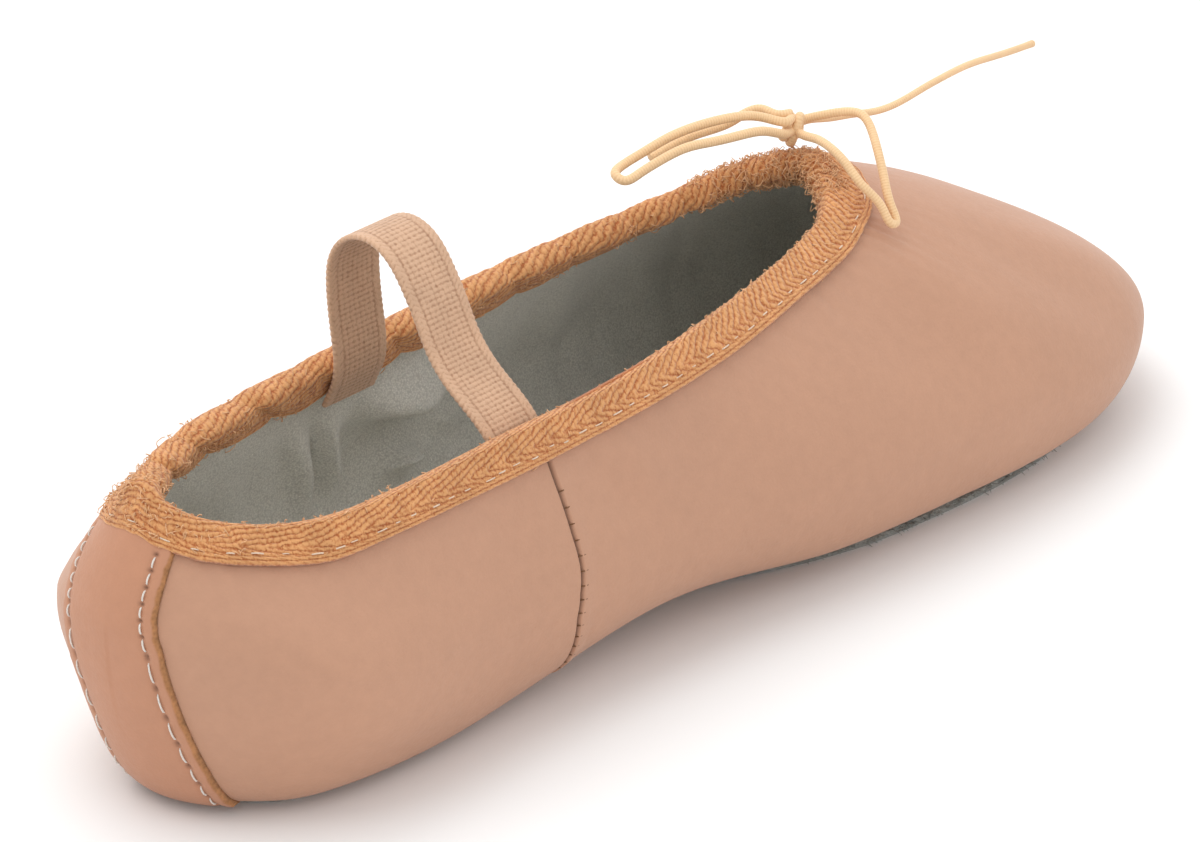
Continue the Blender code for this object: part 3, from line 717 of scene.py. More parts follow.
def grain_group():
    # The pores and fine lines of a skin
    tree, given, result = new_group(
        "Grain",
        (("Place", "NodeSocketVector", None), ("Pore scale", "NodeSocketFloat", 1500.0)),
        (("Height", "NodeSocketFloat"),))
    pores = add_node(tree, "ShaderNodeTexVoronoi", {
        "Vector": given["Place"], "Scale": given["Pore scale"]}).outputs["Distance"]
    lines = add_node(tree, "ShaderNodeTexNoise", {
        "Vector": given["Place"], "Scale": math(tree, "MULTIPLY", given["Pore scale"], 0.45),
        "Detail": 4.0, "Roughness": 0.6}).outputs["Fac"]
    half = math(tree, "MULTIPLY", pores, 0.5)
    feed(tree, result["Height"], math(tree, "ADD", half, math(tree, "MULTIPLY", lines, 0.8)))
    return tree


def fibre_group():
    # Fine spun fibres, drawn out along one direction, with a mask of a few bright ones for painted
    # glints
    tree, given, result = new_group(
        "Fibres",
        (("Place", "NodeSocketVector", None), ("Fibre scale", "NodeSocketFloat", 2500.0),
         ("Draw", "NodeSocketVector", (1.0, 1.0, 1.0))),
        (("Height", "NodeSocketFloat"), ("Glint", "NodeSocketFloat")))
    drawn = add_node(tree, "ShaderNodeVectorMath", {0: given["Place"], 1: given["Draw"]},
                     operation="MULTIPLY").outputs[0]
    strands = add_node(tree, "ShaderNodeTexNoise", {
        "Vector": drawn, "Scale": given["Fibre scale"], "Detail": 3.0,
        "Roughness": 0.7}).outputs["Fac"]
    feed(tree, result["Height"], strands)
    feed(tree, result["Glint"], remap(tree, strands, 0.56, 0.72, 0.0, 1.0))
    return tree


def relief_tint_group():
    # Two colours laid on by the height of a weave, the low one as painted shade in its grooves
    tree, given, result = new_group(
        "Groove shade tint",
        (("Height", "NodeSocketFloat", 0.5), ("Crest", "NodeSocketColor", (1, 1, 1, 1)),
         ("Groove shade", "NodeSocketColor", (0, 0, 0, 1)), ("Low", "NodeSocketFloat", 0.15),
         ("High", "NodeSocketFloat", 0.75)),
        (("Color", "NodeSocketColor"),))
    share = remap(tree, given["Height"], given["Low"], given["High"], 0.0, 1.0)
    feed(tree, result["Color"], mix_colour(tree, share, given["Groove shade"], given["Crest"]))
    return tree


def knit_rows_group():
    # Rows of small twisted loops, from a place counted in rows and one counted in loops
    tree, given, result = new_group(
        "Knit rows",
        (("Row", "NodeSocketFloat", 0.0), ("Loop", "NodeSocketFloat", 0.0),
         ("Twist", "NodeSocketFloat", 0.5)),
        (("Height", "NodeSocketFloat"),))
    share = math(tree, "FRACT", given["Row"])
    number = math(tree, "FLOOR", given["Row"])
    centred = math(tree, "SUBTRACT", math(tree, "MULTIPLY", share, 2.0), 1.0)
    ridge = math(tree, "SUBTRACT", 1.0, math(tree, "MULTIPLY", centred, centred))
    lean = math(tree, "MULTIPLY", centred, given["Twist"])
    turn = math(tree, "ADD", given["Loop"],
                math(tree, "ADD", lean, math(tree, "MULTIPLY", number, 0.37)))
    wave = math(tree, "COSINE", math(tree, "MULTIPLY", turn, 2 * np.pi))
    swell = remap(tree, wave, -1.0, 1.0, 0.50, 1.0)
    feed(tree, result["Height"], math(tree, "MULTIPLY", ridge, swell))
    return tree


EFFECTS = {"Mottle": mottle_group, "Grain": grain_group, "Fibres": fibre_group,
           "Groove shade tint": relief_tint_group, "Knit rows": knit_rows_group}


def effect(tree, name, inputs):
    # One of the shared effects, built the first time that it is asked for
    group = bpy.data.node_groups.get(name) or EFFECTS[name]()
    made = tree.nodes.new("ShaderNodeGroup")
    made.node_tree = group
    for label, value in inputs.items():
        feed(tree, made.inputs[label], value)
    return made.outputs


def new_finish(name, **plain):
    # A material with its shader; plain holds the numbers that are even all over
    finish = bpy.data.materials.new(name)
    finish.use_nodes = True
    tree = finish.node_tree
    shader = tree.nodes["Principled BSDF"]
    for label, value in plain.items():
        shader.inputs[label.replace("_", " ")].default_value = value
    return finish, tree, shader


def rgba(colour):
    return (*colour, 1.0)


def toned(tree, colour, tone):
    # A colour made lighter or darker by a tone near 1
    grey = add_node(tree, "ShaderNodeCombineColor", {0: tone, 1: tone, 2: tone}).outputs[0]
    return mix_colour(tree, 1.0, colour, grey, "MULTIPLY")


def bump(tree, height, distance, strength):
    return add_node(tree, "ShaderNodeBump", {
        "Height": height, "Distance": distance, "Strength": strength}).outputs["Normal"]


def leather_finish(name, colour, cut_colour):
    # Smooth skin with fine grain, with the cut edge's colour where its cut mask says so, and painted
    # shade where its seam mask says so
    finish, tree, shader = new_finish(name, Specular_IOR_Level=0.32, Sheen_Weight=0.08)
    spot = object_place(tree)
    wide = effect(tree, "Mottle", {"Place": spot, "Patch scale": 28.0, "Strength": 0.035})["Tone"]
    close = effect(tree, "Mottle", {"Place": spot, "Patch scale": 420.0, "Strength": 0.030})["Tone"]
    grain = effect(tree, "Grain", {"Place": spot, "Pore scale": 1700.0})["Height"]
    base = toned(tree, rgba(colour), math(tree, "MULTIPLY", wide, close))
    cut = toned(tree, rgba(cut_colour), remap(tree, grain, 0.3, 0.9, 0.75, 1.25))
    base = mix_colour(tree, point_value(tree, "cut"), base, cut)
    # Painted shade: the seam mask darkens the skin to 45% in the side seams' groove and the strip's
    # needle holes, and as a painted shadow along the strip's edges
    shade = remap(tree, point_value(tree, "seam"), 0.0, 1.0, 1.0, 0.45)
    feed(tree, shader.inputs["Base Color"], toned(tree, base, shade))
    feed(tree, shader.inputs["Roughness"], remap(tree, grain, 0.3, 0.9, 0.62, 0.50))
    feed(tree, shader.inputs["Normal"], bump(tree, grain, 0.00012, 0.55))
    return finish


def tape_finish(name, crest, groove):
    # Cotton tape: slanting rows of loops, with two twisted cords along each edge, darkened with painted
    # shade in its grooves
    finish, tree, shader = new_finish(name, Specular_IOR_Level=0.15, Sheen_Weight=0.25,
                                      Sheen_Roughness=0.5)
    spot = object_place(tree)
    edge = point_value(tree, "edge")
    stray = effect(tree, "Mottle", {"Place": spot, "Patch scale": 420.0, "Strength": 0.40})["Tone"]
    strayed = math(tree, "ADD", point_value(tree, "row"), math(tree, "SUBTRACT", stray, 1.0))
    field = effect(tree, "Knit rows", {
        "Row": strayed, "Loop": point_value(tree, "loop"), "Twist": 0.30})
    cords = effect(tree, "Knit rows", {
        "Row": math(tree, "DIVIDE", edge, TAPE_CORD), "Loop": point_value(tree, "twist"),
        "Twist": 0.55})
    inner = remap(tree, edge, 2 * TAPE_CORD - 0.0001, 2 * TAPE_CORD + 0.0001, 0.0, 1.0)
    weaker = remap(tree, edge, TAPE_FLIP - 0.0004, TAPE_FLIP + 0.0004, 0.80, 1.0)
    woven = math(tree, "MULTIPLY", field["Height"], weaker)
    height = math(tree, "ADD", math(tree, "MULTIPLY", woven, inner),
                  math(tree, "MULTIPLY", cords["Height"], math(tree, "SUBTRACT", 1.0, inner)))
    fibres = effect(tree, "Fibres", {"Place": spot, "Fibre scale": 2600.0,
                                     "Draw": (1.0, 1.0, 0.6)})
    roughed = math(tree, "ADD", height, remap(tree, fibres["Height"], 0.3, 0.7, -0.55, 0.45))
    # Painted shade: the groove colour is laid where the weave is low, roughened with fibre noise
    groove_shaded = effect(tree, "Groove shade tint", {
        "Height": roughed, "Crest": rgba(crest), "Groove shade": rgba(groove), "Low": -0.15,
        "High": 0.70})["Color"]
    tone = effect(tree, "Mottle", {"Place": spot, "Patch scale": 220.0, "Strength": 0.12})["Tone"]
    feed(tree, shader.inputs["Base Color"], toned(tree, groove_shaded, tone))
    feed(tree, shader.inputs["Roughness"], remap(tree, height, 0.0, 1.0, 0.95, 0.80))
    relief = math(tree, "ADD", height, math(tree, "MULTIPLY", fibres["Height"], 0.7))
    feed(tree, shader.inputs["Normal"], bump(tree, relief, 0.00030, 0.75))
    return finish


def strap_finish(name, crest, groove):
    # Elastic whose woven relief is in the mesh; fibres and colour follow it, the colour darkened with
    # painted shade where the weave is low
    finish, tree, shader = new_finish(name, Specular_IOR_Level=0.2, Sheen_Weight=0.25,
                                      Sheen_Roughness=0.5)
    spot = object_place(tree)
    height = point_value(tree, "relief")
    fibres = effect(tree, "Fibres", {"Place": spot, "Fibre scale": 1900.0})
    roughed = math(tree, "ADD", height, remap(tree, fibres["Height"], 0.3, 0.7, -0.28, 0.28))
    # Painted shade: the groove colour is laid where the weave is low
    groove_shaded = effect(tree, "Groove shade tint", {
        "Height": roughed, "Crest": rgba(crest), "Groove shade": rgba(groove), "Low": 0.0,
        "High": 0.62})["Color"]
    tone = effect(tree, "Mottle", {"Place": spot, "Patch scale": 160.0, "Strength": 0.07})["Tone"]
    feed(tree, shader.inputs["Base Color"], toned(tree, groove_shaded, tone))
    feed(tree, shader.inputs["Roughness"], remap(tree, height, 0.0, 1.0, 0.95, 0.78))
    feed(tree, shader.inputs["Normal"], bump(tree, fibres["Height"], 0.0003, 0.8))
    return finish


def cord_finish(name, colour):
    # A smooth covered cord with fine ribs across it, drawn only in colour and bump: painted shade
    # darkens and warms it between the ribs
    finish, tree, shader = new_finish(name, Specular_IOR_Level=0.3, Sheen_Weight=0.2,
                                      Sheen_Roughness=0.5)
    spot = object_place(tree)
    gone = point_value(tree, "gone")
    wave = math(tree, "COSINE", math(tree, "MULTIPLY", gone, 2 * np.pi / CORD_RIB))
    fibres = effect(tree, "Fibres", {"Place": spot, "Fibre scale": 3000.0})
    rough = math(tree, "ADD", wave, remap(tree, fibres["Height"], 0.3, 0.7, -1.0, 1.0))
    tone = effect(tree, "Mottle", {"Place": spot, "Patch scale": 120.0, "Strength": 0.05})["Tone"]
    # Painted shade between the ribs, mixed with fibre noise and a mottled tone
    mottle_and_rib_shade = math(tree, "MULTIPLY", tone, remap(tree, rough, -2.0, 2.0, 0.94, 1.04))
    rib_groove_shaded = mix_colour(tree, remap(tree, rough, -2.0, 0.5, 0.30, 0.0), rgba(colour),
                      rgba(np.array(colour) * (0.80, 0.62, 0.42)))
    feed(tree, shader.inputs["Base Color"], toned(tree, rib_groove_shaded, mottle_and_rib_shade))
    feed(tree, shader.inputs["Roughness"], remap(tree, rough, -2.0, 2.0, 0.75, 0.58))
    feed(tree, shader.inputs["Normal"], bump(tree, rough, 0.00003, 0.6))
    return finish


def knit_finish(name, colour):
    # A grey cotton knit: small loops with painted light on them and painted shade in the darker gaps,
    # and painted glints of bright fibres
    finish, tree, shader = new_finish(name, Specular_IOR_Level=0.15, Sheen_Weight=0.3,
                                      Sheen_Roughness=0.45)
    spot = object_place(tree)
    loops = add_node(tree, "ShaderNodeTexVoronoi", {
        "Vector": spot, "Scale": 2900.0}).outputs["Distance"]
    fibres = effect(tree, "Fibres", {"Place": spot, "Fibre scale": 2300.0})
    # Painted light on the loops, painted shade in the gaps between them, and painted glints
    loop_light_and_shade = remap(tree, loops, 0.15, 0.75, 1.14, 0.80)
    glint = remap(tree, fibres["Glint"], 0.0, 1.0, 0.97, 1.25)
    wide = effect(tree, "Mottle", {"Place": spot, "Patch scale": 60.0, "Strength": 0.05})["Tone"]
    tone = math(tree, "MULTIPLY", math(tree, "MULTIPLY", loop_light_and_shade, glint), wide)
    feed(tree, shader.inputs["Base Color"], toned(tree, rgba(colour), tone))
    feed(tree, shader.inputs["Roughness"], remap(tree, loops, 0.0, 1.0, 0.82, 0.98))
    feed(tree, shader.inputs["Normal"], bump(tree, loops, 0.00016, 0.6))
    return finish


def suede_finish(name, colour):
    # Short nap brushed in patches
    finish, tree, shader = new_finish(name, Specular_IOR_Level=0.1, Sheen_Weight=0.5,
                                      Sheen_Roughness=0.6)
    spot = object_place(tree)
    nap = effect(tree, "Fibres", {"Place": spot, "Fibre scale": 2200.0})["Height"]
    brushed = effect(tree, "Mottle", {"Place": spot, "Patch scale": 55.0, "Strength": 0.16})["Tone"]
    tone = math(tree, "MULTIPLY", brushed, remap(tree, nap, 0.3, 0.7, 0.65, 1.4))
    feed(tree, shader.inputs["Base Color"], toned(tree, rgba(colour), tone))
    feed(tree, shader.inputs["Roughness"], remap(tree, nap, 0.3, 0.7, 0.9, 1.0))
    feed(tree, shader.inputs["Normal"], bump(tree, nap, 0.0004, 0.8))
    return finish


def thread_finish(name, colour, scale):
    # Twisted spun thread or a single fibre
    finish, tree, shader = new_finish(name, Specular_IOR_Level=0.25, Sheen_Weight=0.2)
    spot = object_place(tree)
    twist = effect(tree, "Fibres", {"Place": spot, "Fibre scale": scale})["Height"]
    tone = remap(tree, twist, 0.3, 0.7, 0.78, 1.12)
    feed(tree, shader.inputs["Base Color"], toned(tree, rgba(colour), tone))
    feed(tree, shader.inputs["Roughness"], remap(tree, twist, 0.3, 0.7, 0.85, 0.65))
    feed(tree, shader.inputs["Normal"], bump(tree, twist, 0.0001, 0.6))
    return finish


def floor_finish(name, colour):
    # Pale seamless paper, faintly uneven
    finish, tree, shader = new_finish(name, Specular_IOR_Level=0.1)
    spot = object_place(tree)
    tone = effect(tree, "Mottle", {"Place": spot, "Patch scale": 3.0, "Strength": 0.004})["Tone"]
    feed(tree, shader.inputs["Base Color"], toned(tree, rgba(colour), tone))
    feed(tree, shader.inputs["Roughness"], remap(tree, tone, 0.9, 1.1, 0.85, 0.95))
    return finish


# Camera: direction and distance from the point it is fitted about, and its lens
CAMERA_TURN = 222.064
CAMERA_RAISE = 26.486
CAMERA_ROLL = -0.476
CAMERA_AWAY = 0.9869
CAMERA_TARGET = (0.0, 0.0, 0.025)
CAMERA_LENS = 174.99
CAMERA_SHIFT = -0.0242
SENSOR_WIDTH = 36.0

# Soft lights: where each stands in the camera's right, up and back, its size and power
SoftLight = namedtuple("SoftLight", "name right up back size power")
SOFT_LIGHTS = (
    SoftLight("key_softbox", -0.55, 1.25, 0.55, 1.4, 8.0),
    SoftLight("fill_softbox", 0.95, 0.55, 0.75, 1.4, 1.2),
    SoftLight("top_softbox", -0.10, 1.30, -0.45, 1.4, 4.5),
)
ROOM_LIGHT = 0.93
FLOOR_REACH = 3.0
FLOOR_SIDES = 64


def camera_axes():
    # The camera's right, up and back directions, rolled
    turn, raised, roll = np.radians([CAMERA_TURN, CAMERA_RAISE, CAMERA_ROLL])
    back = np.array([np.sin(turn) * np.cos(raised), -np.cos(turn) * np.cos(raised),
                     np.sin(raised)])
    right = np.array([np.cos(turn), np.sin(turn), 0])
    up = np.cross(back, right)
    rolled = right * np.cos(roll) + up * np.sin(roll)
    return rolled, up * np.cos(roll) - right * np.sin(roll), back


def stand_at(thing, right, up, back, spot):
    rows = [[right[k], up[k], back[k], spot[k]] for k in range(3)]
    thing.matrix_world = Matrix(rows + [[0, 0, 0, 1]])


def make_camera():
    lens = bpy.data.cameras.new("view_camera")
    lens.sensor_fit = "HORIZONTAL"
    lens.sensor_width = SENSOR_WIDTH
    lens.lens = CAMERA_LENS
    lens.shift_x = CAMERA_SHIFT
    lens.clip_start = 0.01
    camera = bpy.data.objects.new("view_camera", lens)
    bpy.context.collection.objects.link(camera)
    right, up, back = camera_axes()
    stand_at(camera, right, up, back, np.array(CAMERA_TARGET) + back * CAMERA_AWAY)
    bpy.context.scene.camera = camera


def make_lights():
    right, up, back = camera_axes()
    for soft in SOFT_LIGHTS:
        lamp = bpy.data.lights.new(soft.name, "AREA")
        lamp.shape = "DISK"
        lamp.size = soft.size
        lamp.energy = soft.power
        thing = bpy.data.objects.new(soft.name, lamp)
        bpy.context.collection.objects.link(thing)
        spot = right * soft.right + up * soft.up + back * soft.back
        away = unit(spot)
        beside = unit(np.cross((0, 0, 1.0), away))
        stand_at(thing, beside, np.cross(away, beside), away, spot)
    world = bpy.context.scene.world or bpy.data.worlds.new("room")
    bpy.context.scene.world = world
    world.use_nodes = True
    room = world.node_tree.nodes["Background"]
    room.inputs["Color"].default_value = (1.0, 1.0, 1.0, 1.0)
    room.inputs["Strength"].default_value = ROOM_LIGHT


def make_floor(colour):
    turn = np.linspace(0, 2 * np.pi, FLOOR_SIDES, endpoint=False)
    mesh = bpy.data.meshes.new("studio_floor")
    ring = [(FLOOR_REACH * np.cos(a), FLOOR_REACH * np.sin(a), 0.0) for a in turn]
    mesh.from_pydata(ring, [], [list(range(FLOOR_SIDES))])
    mesh.materials.append(floor_finish("floor_paper", colour))
    floor = bpy.data.objects.new("studio_floor", mesh)
    bpy.context.collection.objects.link(floor)


def bow_route(cord):
    # The cord's route, with its ends led on into the middle of the knot
    route = [(*KNOT_HEART, cord.route[0][2]), *cord.route]
    if cord.far_end == "object":
        route.append((*KNOT_HEART, cord.route[-1][2]))
    return route


def cord_piece(cord, diameter, finish):
    # A covered cord along its route, its cut end splayed a little
    line = smooth_route(bow_route(cord), CORD_STEP)
    gone = lengths_along(line)
    left = np.minimum(gone, gone[-1] - gone) / END_ROUNDING
    splay = 1 + (0.14 * np.exp(-(gone[-1] - gone) / 0.0008) if cord.far_end == "bare" else 0)
    radii = diameter / 2 * splay * (0.75 + 0.25 * np.sqrt(1 - (1 - np.clip(left, 0, 1)) ** 2))
    points, faces = tube(line, radii, CORD_SIDES)
    ribs = np.repeat(gone, CORD_SIDES)
    piece = add_piece(cord.node + "_cover", points, faces, finish, (cord.node,),
                      {"gone": ribs})
    return piece, line


def knot_wrap(diameter, finish):
    # Two turns of the cord that grip the crossing strands, leaning a little to the toe
    low, high = (np.array(corner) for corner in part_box("bow_knot"))
    centre = (low + high) / 2
    half = (high - low) / 2 - diameter / 2
    strands_run = unit(camera_axes()[0] * (1, 1, 0))
    deep = np.cross(strands_run, (0, 0, 1.0))
    share = np.linspace(0, 1, 160)
    turn = (share * WRAP_TURNS * 2 - 0.5) * np.pi
    slide = (share - 0.5) * diameter * WRAP_TURNS * 0.95
    held = 0.25 + 0.75 * np.minimum(step_up(share, 0, 0.12), step_up(1 - share, 0, 0.12))
    lean = WRAP_LEAN * np.sin(turn) * half[2]
    line = (centre + deep * (half[1] * np.cos(turn) * held)[:, None]
            + np.array([0, 0, 1.0]) * (half[2] * np.sin(turn) * held)[:, None]
            + strands_run * (slide + lean)[:, None])
    points, faces = tube(line, np.full(len(line), diameter / 2), CORD_SIDES)
    ribs = np.repeat(lengths_along(line), CORD_SIDES)
    return add_piece("bow_knot_wrap", points, faces, finish, ("bow_knot",),
                     {"gone": ribs})


# The leather: its grid, where it ends under the tape, its thickness, its side seams and the
# tuck round the forefoot that lets the sole's edge show
UPPER_COLUMNS = 500
SEAM_COLUMNS = 46
UPPER_ROWS_LOW = 34
UPPER_ROWS_HIGH = 64
UPPER_INSIDE_ROWS = 40
UPPER_TOP = 1.95
LEATHER_THICK = 0.0007
SEAM_GROOVE = 0.00042
SEAM_RIDGE = 0.00030
TUCK_ROUND = (0.215, 0.265, 0.735, 0.785)
SOLE_TUCK_UP = 0.0019


def leather_bend(u, v):
    # The folds that leather and lining share, and the tuck over the forefoot's sole edge
    u = u % 1.0
    forefoot = step_up(u, TUCK_ROUND[0], TUCK_ROUND[1]) * step_up(-u, -TUCK_ROUND[3], -TUCK_ROUND[2])
    tuck = SOLE_TUCK_UP * forefoot * hump(v, 0.16, 0.20)
    return -fold_relief(u, v, LEATHER_FOLDS) * step_up(v, -0.2, 0.25) - tuck


def seam_u(v, side):
    near = np.interp(v, SEAM_V, SEAM_U)
    return near if side > 0 else 1 - near


def upper_columns():
    # Even columns, with more of them close to the two side seams
    even = np.arange(UPPER_COLUMNS) / UPPER_COLUMNS
    share = np.linspace(-1, 1, SEAM_COLUMNS)
    close = SEAM_CLOSE / SKIN_ROUND * share * (0.25 + 0.75 * np.abs(share))
    return np.unique(np.round(np.concatenate(
        [even, SEAM_MIDDLE + close, 1 - SEAM_MIDDLE - close]), 7))


def follow_seams(columns, v):
    # Columns moved sideways so that one of them runs down each side seam
    u = columns + np.zeros_like(v)
    shift = np.interp(v, SEAM_V, SEAM_U) - SEAM_MIDDLE
    near = step_up(SEAM_REACH - np.abs(columns - SEAM_MIDDLE), 0, SEAM_REACH)
    far = step_up(SEAM_REACH - np.abs(columns - 1 + SEAM_MIDDLE), 0, SEAM_REACH)
    return u + shift * near - shift * far


def seam_profile(u, v):
    # The closed seam: a thin groove, the fold that stands up on its toe side, and a mask of painted
    # shade along the groove
    toward_toe = np.minimum((u - seam_u(v, 1)), (seam_u(v, -1) - u)) * SKIN_ROUND
    groove = -SEAM_GROOVE * hump(toward_toe, -0.00015, 0.00022)
    ridge = SEAM_RIDGE * step_up(toward_toe, 0.0, 0.0004) * (1 - step_up(toward_toe, 0.0006, 0.0036))
    line = hump(toward_toe, -0.00012, 0.00020)
    return groove + ridge, line


def leather_relief(u, v):
    # Folds, the seams, the pull of the tape's stitches and the small pleats under the toe, with the
    # mask of painted shade in the seams' groove
    seam, line = seam_profile(u, v)
    fade = step_up(v, -0.2, 0.15)
    relief = leather_bend(u, v) + seam * fade
    down = (2 - v) * SKIN_UP - BINDING_OUTSIDE
    calm = 1 - 0.92 * step_up(u, 0.37, 0.43) * (1 - step_up(u, 0.57, 0.63))
    pull = wobble(u, (67, 83, 101), (0.10, 0.43, 0.77)) * 0.00014 * calm
    relief = relief + pull * np.exp(-np.maximum(down, 0) / 0.005)
    toe = step_up(u, 0.27, 0.36) * (1 - step_up(u, 0.64, 0.73))
    gather = wobble(u, (41, 58, 73), (0.31, 0.72, 0.18)) * 0.00024
    pleat = np.abs(np.sin(2 * np.pi * 46 * u + 2.2 * np.sin(2 * np.pi * 7 * u))) - 0.6
    low = np.exp(-((v - 0.10) / 0.22) ** 2)
    relief = relief + (gather + pleat * 0.00035) * toe * low
    return relief * step_up(v, -0.6, 0.05), line * fade


def upper_leather(finish):
    columns = upper_columns()
    rows = np.r_[np.linspace(-1, 0, 4, endpoint=False),
                 np.linspace(0, 1, UPPER_ROWS_LOW, endpoint=False),
                 np.linspace(1, UPPER_TOP, UPPER_ROWS_HIGH)]
    v = rows[:, None]
    u = follow_seams(columns[None, :], v)
    relief, line = leather_relief(u, v + np.zeros_like(u))
    outside = shell(u, v, relief)
    back = np.linspace(UPPER_TOP, -1, UPPER_INSIDE_ROWS)[:, None]
    inner_u = follow_seams(columns[None, :], back)
    bend = leather_bend(inner_u, back + np.zeros_like(inner_u))
    inside = shell(inner_u, back, bend - LEATHER_THICK)
    points = np.concatenate([outside, inside])
    # The seam mask: painted shade in the side seams' groove, none inside
    seam = np.concatenate([line, np.zeros(inner_u.shape)])
    # Towards the bottom the outside takes 15% of the cut edge's colour: painted shade over the turned
    # margin and just above the sole edge
    edge = 1 - step_up(rows, -0.05, 0.10)
    cut = np.concatenate([np.broadcast_to(edge[:, None] * 0.15, u.shape),
                          np.full(inner_u.shape, 1.0)])
    faces = grid_faces(len(points), len(columns), True, True)
    return add_piece("upper_leather", points, faces, finish, ("upper",),
                     {"seam": seam, "cut": cut})


# The lining: its grid, and how far it may give way towards the leather
LINING_COLUMNS = 460
LINING_ROWS = 90
LINING_BACK_ROWS = 40
LINING_OUT = 0.00045
# White thread ends on the far lining: how many, where, how far under the rim and how long
THREAD_ENDS = 16
THREAD_U = (0.664, 0.706)
THREAD_DOWN = (0.0074, 0.0100)
THREAD_LENGTH = (0.0014, 0.0036)
THREAD_RADIUS = 0.00011


def upper_lining(finish):
    # The knit inside the leather, from under the tape down to the insole
    u = np.arange(LINING_COLUMNS) / LINING_COLUMNS
    v = np.linspace(UPPER_TOP, -0.25, LINING_ROWS)[:, None]
    grid = u[None, :] + np.zeros_like(v)
    level = v + np.zeros_like(grid)
    fine = wobble(grid, (37, 53, 71), (0.2, 0.5, 0.9)) * 0.00018 * np.sin(np.pi * v / 2)
    relief = np.minimum(fold_relief(grid, level, LINING_FOLDS) + fine, LINING_OUT)
    held = step_up(2 - v, 0.10, 0.30) * step_up(v, -0.1, 0.25)
    face = shell(grid, v, leather_bend(grid, level) - WALL + relief * held)
    back_v = np.linspace(-0.25, UPPER_TOP, LINING_BACK_ROWS)[:, None]
    back_u = u[None, :] + np.zeros_like(back_v)
    bend = leather_bend(back_u, back_v + np.zeros_like(back_u))
    back = shell(back_u, back_v, bend - LEATHER_THICK - 0.00005)
    points = np.concatenate([face, back])
    faces = grid_faces(len(points), LINING_COLUMNS, True, True)
    return add_piece("upper_lining", points, faces, finish, ("upper",))


def lining_threads(finish):
    # Ends of white sewing thread that lie on the far lining, just under the tape
    chance = np.random.default_rng(SEED + 3)
    u = chance.uniform(*THREAD_U, THREAD_ENDS)
    v = below_rim(u, chance.uniform(*THREAD_DOWN, (THREAD_ENDS, 1)))[:, 0]
    face = leather_bend(u, v) - WALL - 0.0004
    starts = shell(u, v, face)
    outs = -normal(u, v)
    ahead = unit(skin(u + NUDGE, v) - skin(u - NUDGE, v))
    down = unit(np.cross(outs, ahead))
    turn = chance.uniform(-0.9, 0.9, (THREAD_ENDS, 1))
    way = ahead * np.cos(turn) + down * np.sin(turn)
    share = np.linspace(0, 1, 7)[None, :, None]
    length = chance.uniform(*THREAD_LENGTH, (THREAD_ENDS, 1, 1))
    bow = chance.normal(0, 0.35, (THREAD_ENDS, 1, 1)) * np.sin(np.pi * share)
    lines = starts[:, None] + (way[:, None] * share + down[:, None] * bow + outs[:, None] * 0.2
                               * np.sin(np.pi * share)) * length
    points, faces = small_tubes(lines, outs, THREAD_RADIUS, 6)
    return add_piece("lining_threads", points, faces, finish)


# The heel strip: its grid, the slant of its cut edge and how far it runs up under the tape
STRIP_COLUMNS = 90
STRIP_ROWS = 190
STRIP_SKIVE = 0.0007
STRIP_TUCK = 0.0012
# The strip's height on the heel, its needle holes, the sunk line that they stand in and the width of
# the painted shadow along its edges
STRIP_RISE = LENGTH * 0.19
HOLE_RADIUS = 0.00040
HOLE_DEPTH = 0.00040
SUNK_WIDTH = 0.0007
SUNK_DEPTH = 0.00022
EDGE_SHADOW_WIDTH = 0.00018


def strip_foot():
    # The level of the skin at the foot of the heel strip, just over the sole
    table_v = np.linspace(0, 1, 200)
    high = skin(np.zeros(200), table_v)[:, 2]
    return np.interp(SOLE_THICK + 3 * CLEARANCE, high, table_v)


def strip_places(shares, across, tuck):
    # The skin's u and v at shares of the way up the strip and at lengths across it
    fine = np.linspace(-0.12, 0.12, 241)
    foot = strip_foot()
    top = below_rim(np.zeros(1), [[BINDING_OUTSIDE + CLEARANCE - tuck]])[0, 0]
    places = []
    for share in shares:
        v = foot + (top - foot) * share
        swing = 0.5 - 0.5 * np.cos(np.pi * np.clip(
            (share - STRIP_SWAY_FROM) / (STRIP_SWAY_TO - STRIP_SWAY_FROM), 0, 1))
        middle = STRIP_FOOT_SWAY + (STRIP_TOP_SWAY - STRIP_FOOT_SWAY) * swing
        line = skin(fine, np.full(len(fine), v))
        gone = lengths_along(line)
        gone -= gone[len(fine) // 2]
        u = np.interp(middle + across, gone, fine)
        rim = below_rim(u, np.full((len(u), 1), BINDING_OUTSIDE + CLEARANCE - tuck))[:, 0]
        places.append((u, foot + (rim - foot) * share))
    return np.array([p[0] for p in places]), np.array([p[1] for p in places])


def strip_stitch_shares(step):
    # Shares of the strip's height at its needle holes
    line = skin(np.zeros(60), np.linspace(strip_foot(), 1.72, 60))
    count = int(lengths_along(line)[-1] / step)
    return (np.arange(count) + 0.55) / (count + 0.3)


def strip_holes(sizes, shares, across):
    # 1 in the middle of each needle hole of the two seams, fading out round it
    hole = np.zeros((len(shares), len(across)))
    for share in strip_stitch_shares(sizes.stitch_step):
        up = (shares[:, None] - share) * STRIP_RISE
        for side in (-1, 1):
            away = np.hypot(up, across[None, :] - side * strip_seam(sizes))
            hole = np.maximum(hole, np.exp(-(away / HOLE_RADIUS) ** 2))
    return hole


def strip_seam(sizes):
    # How far from the strip's middle its two seams run
    return STRIP_WIDTH / 2 - sizes.stitch_inset


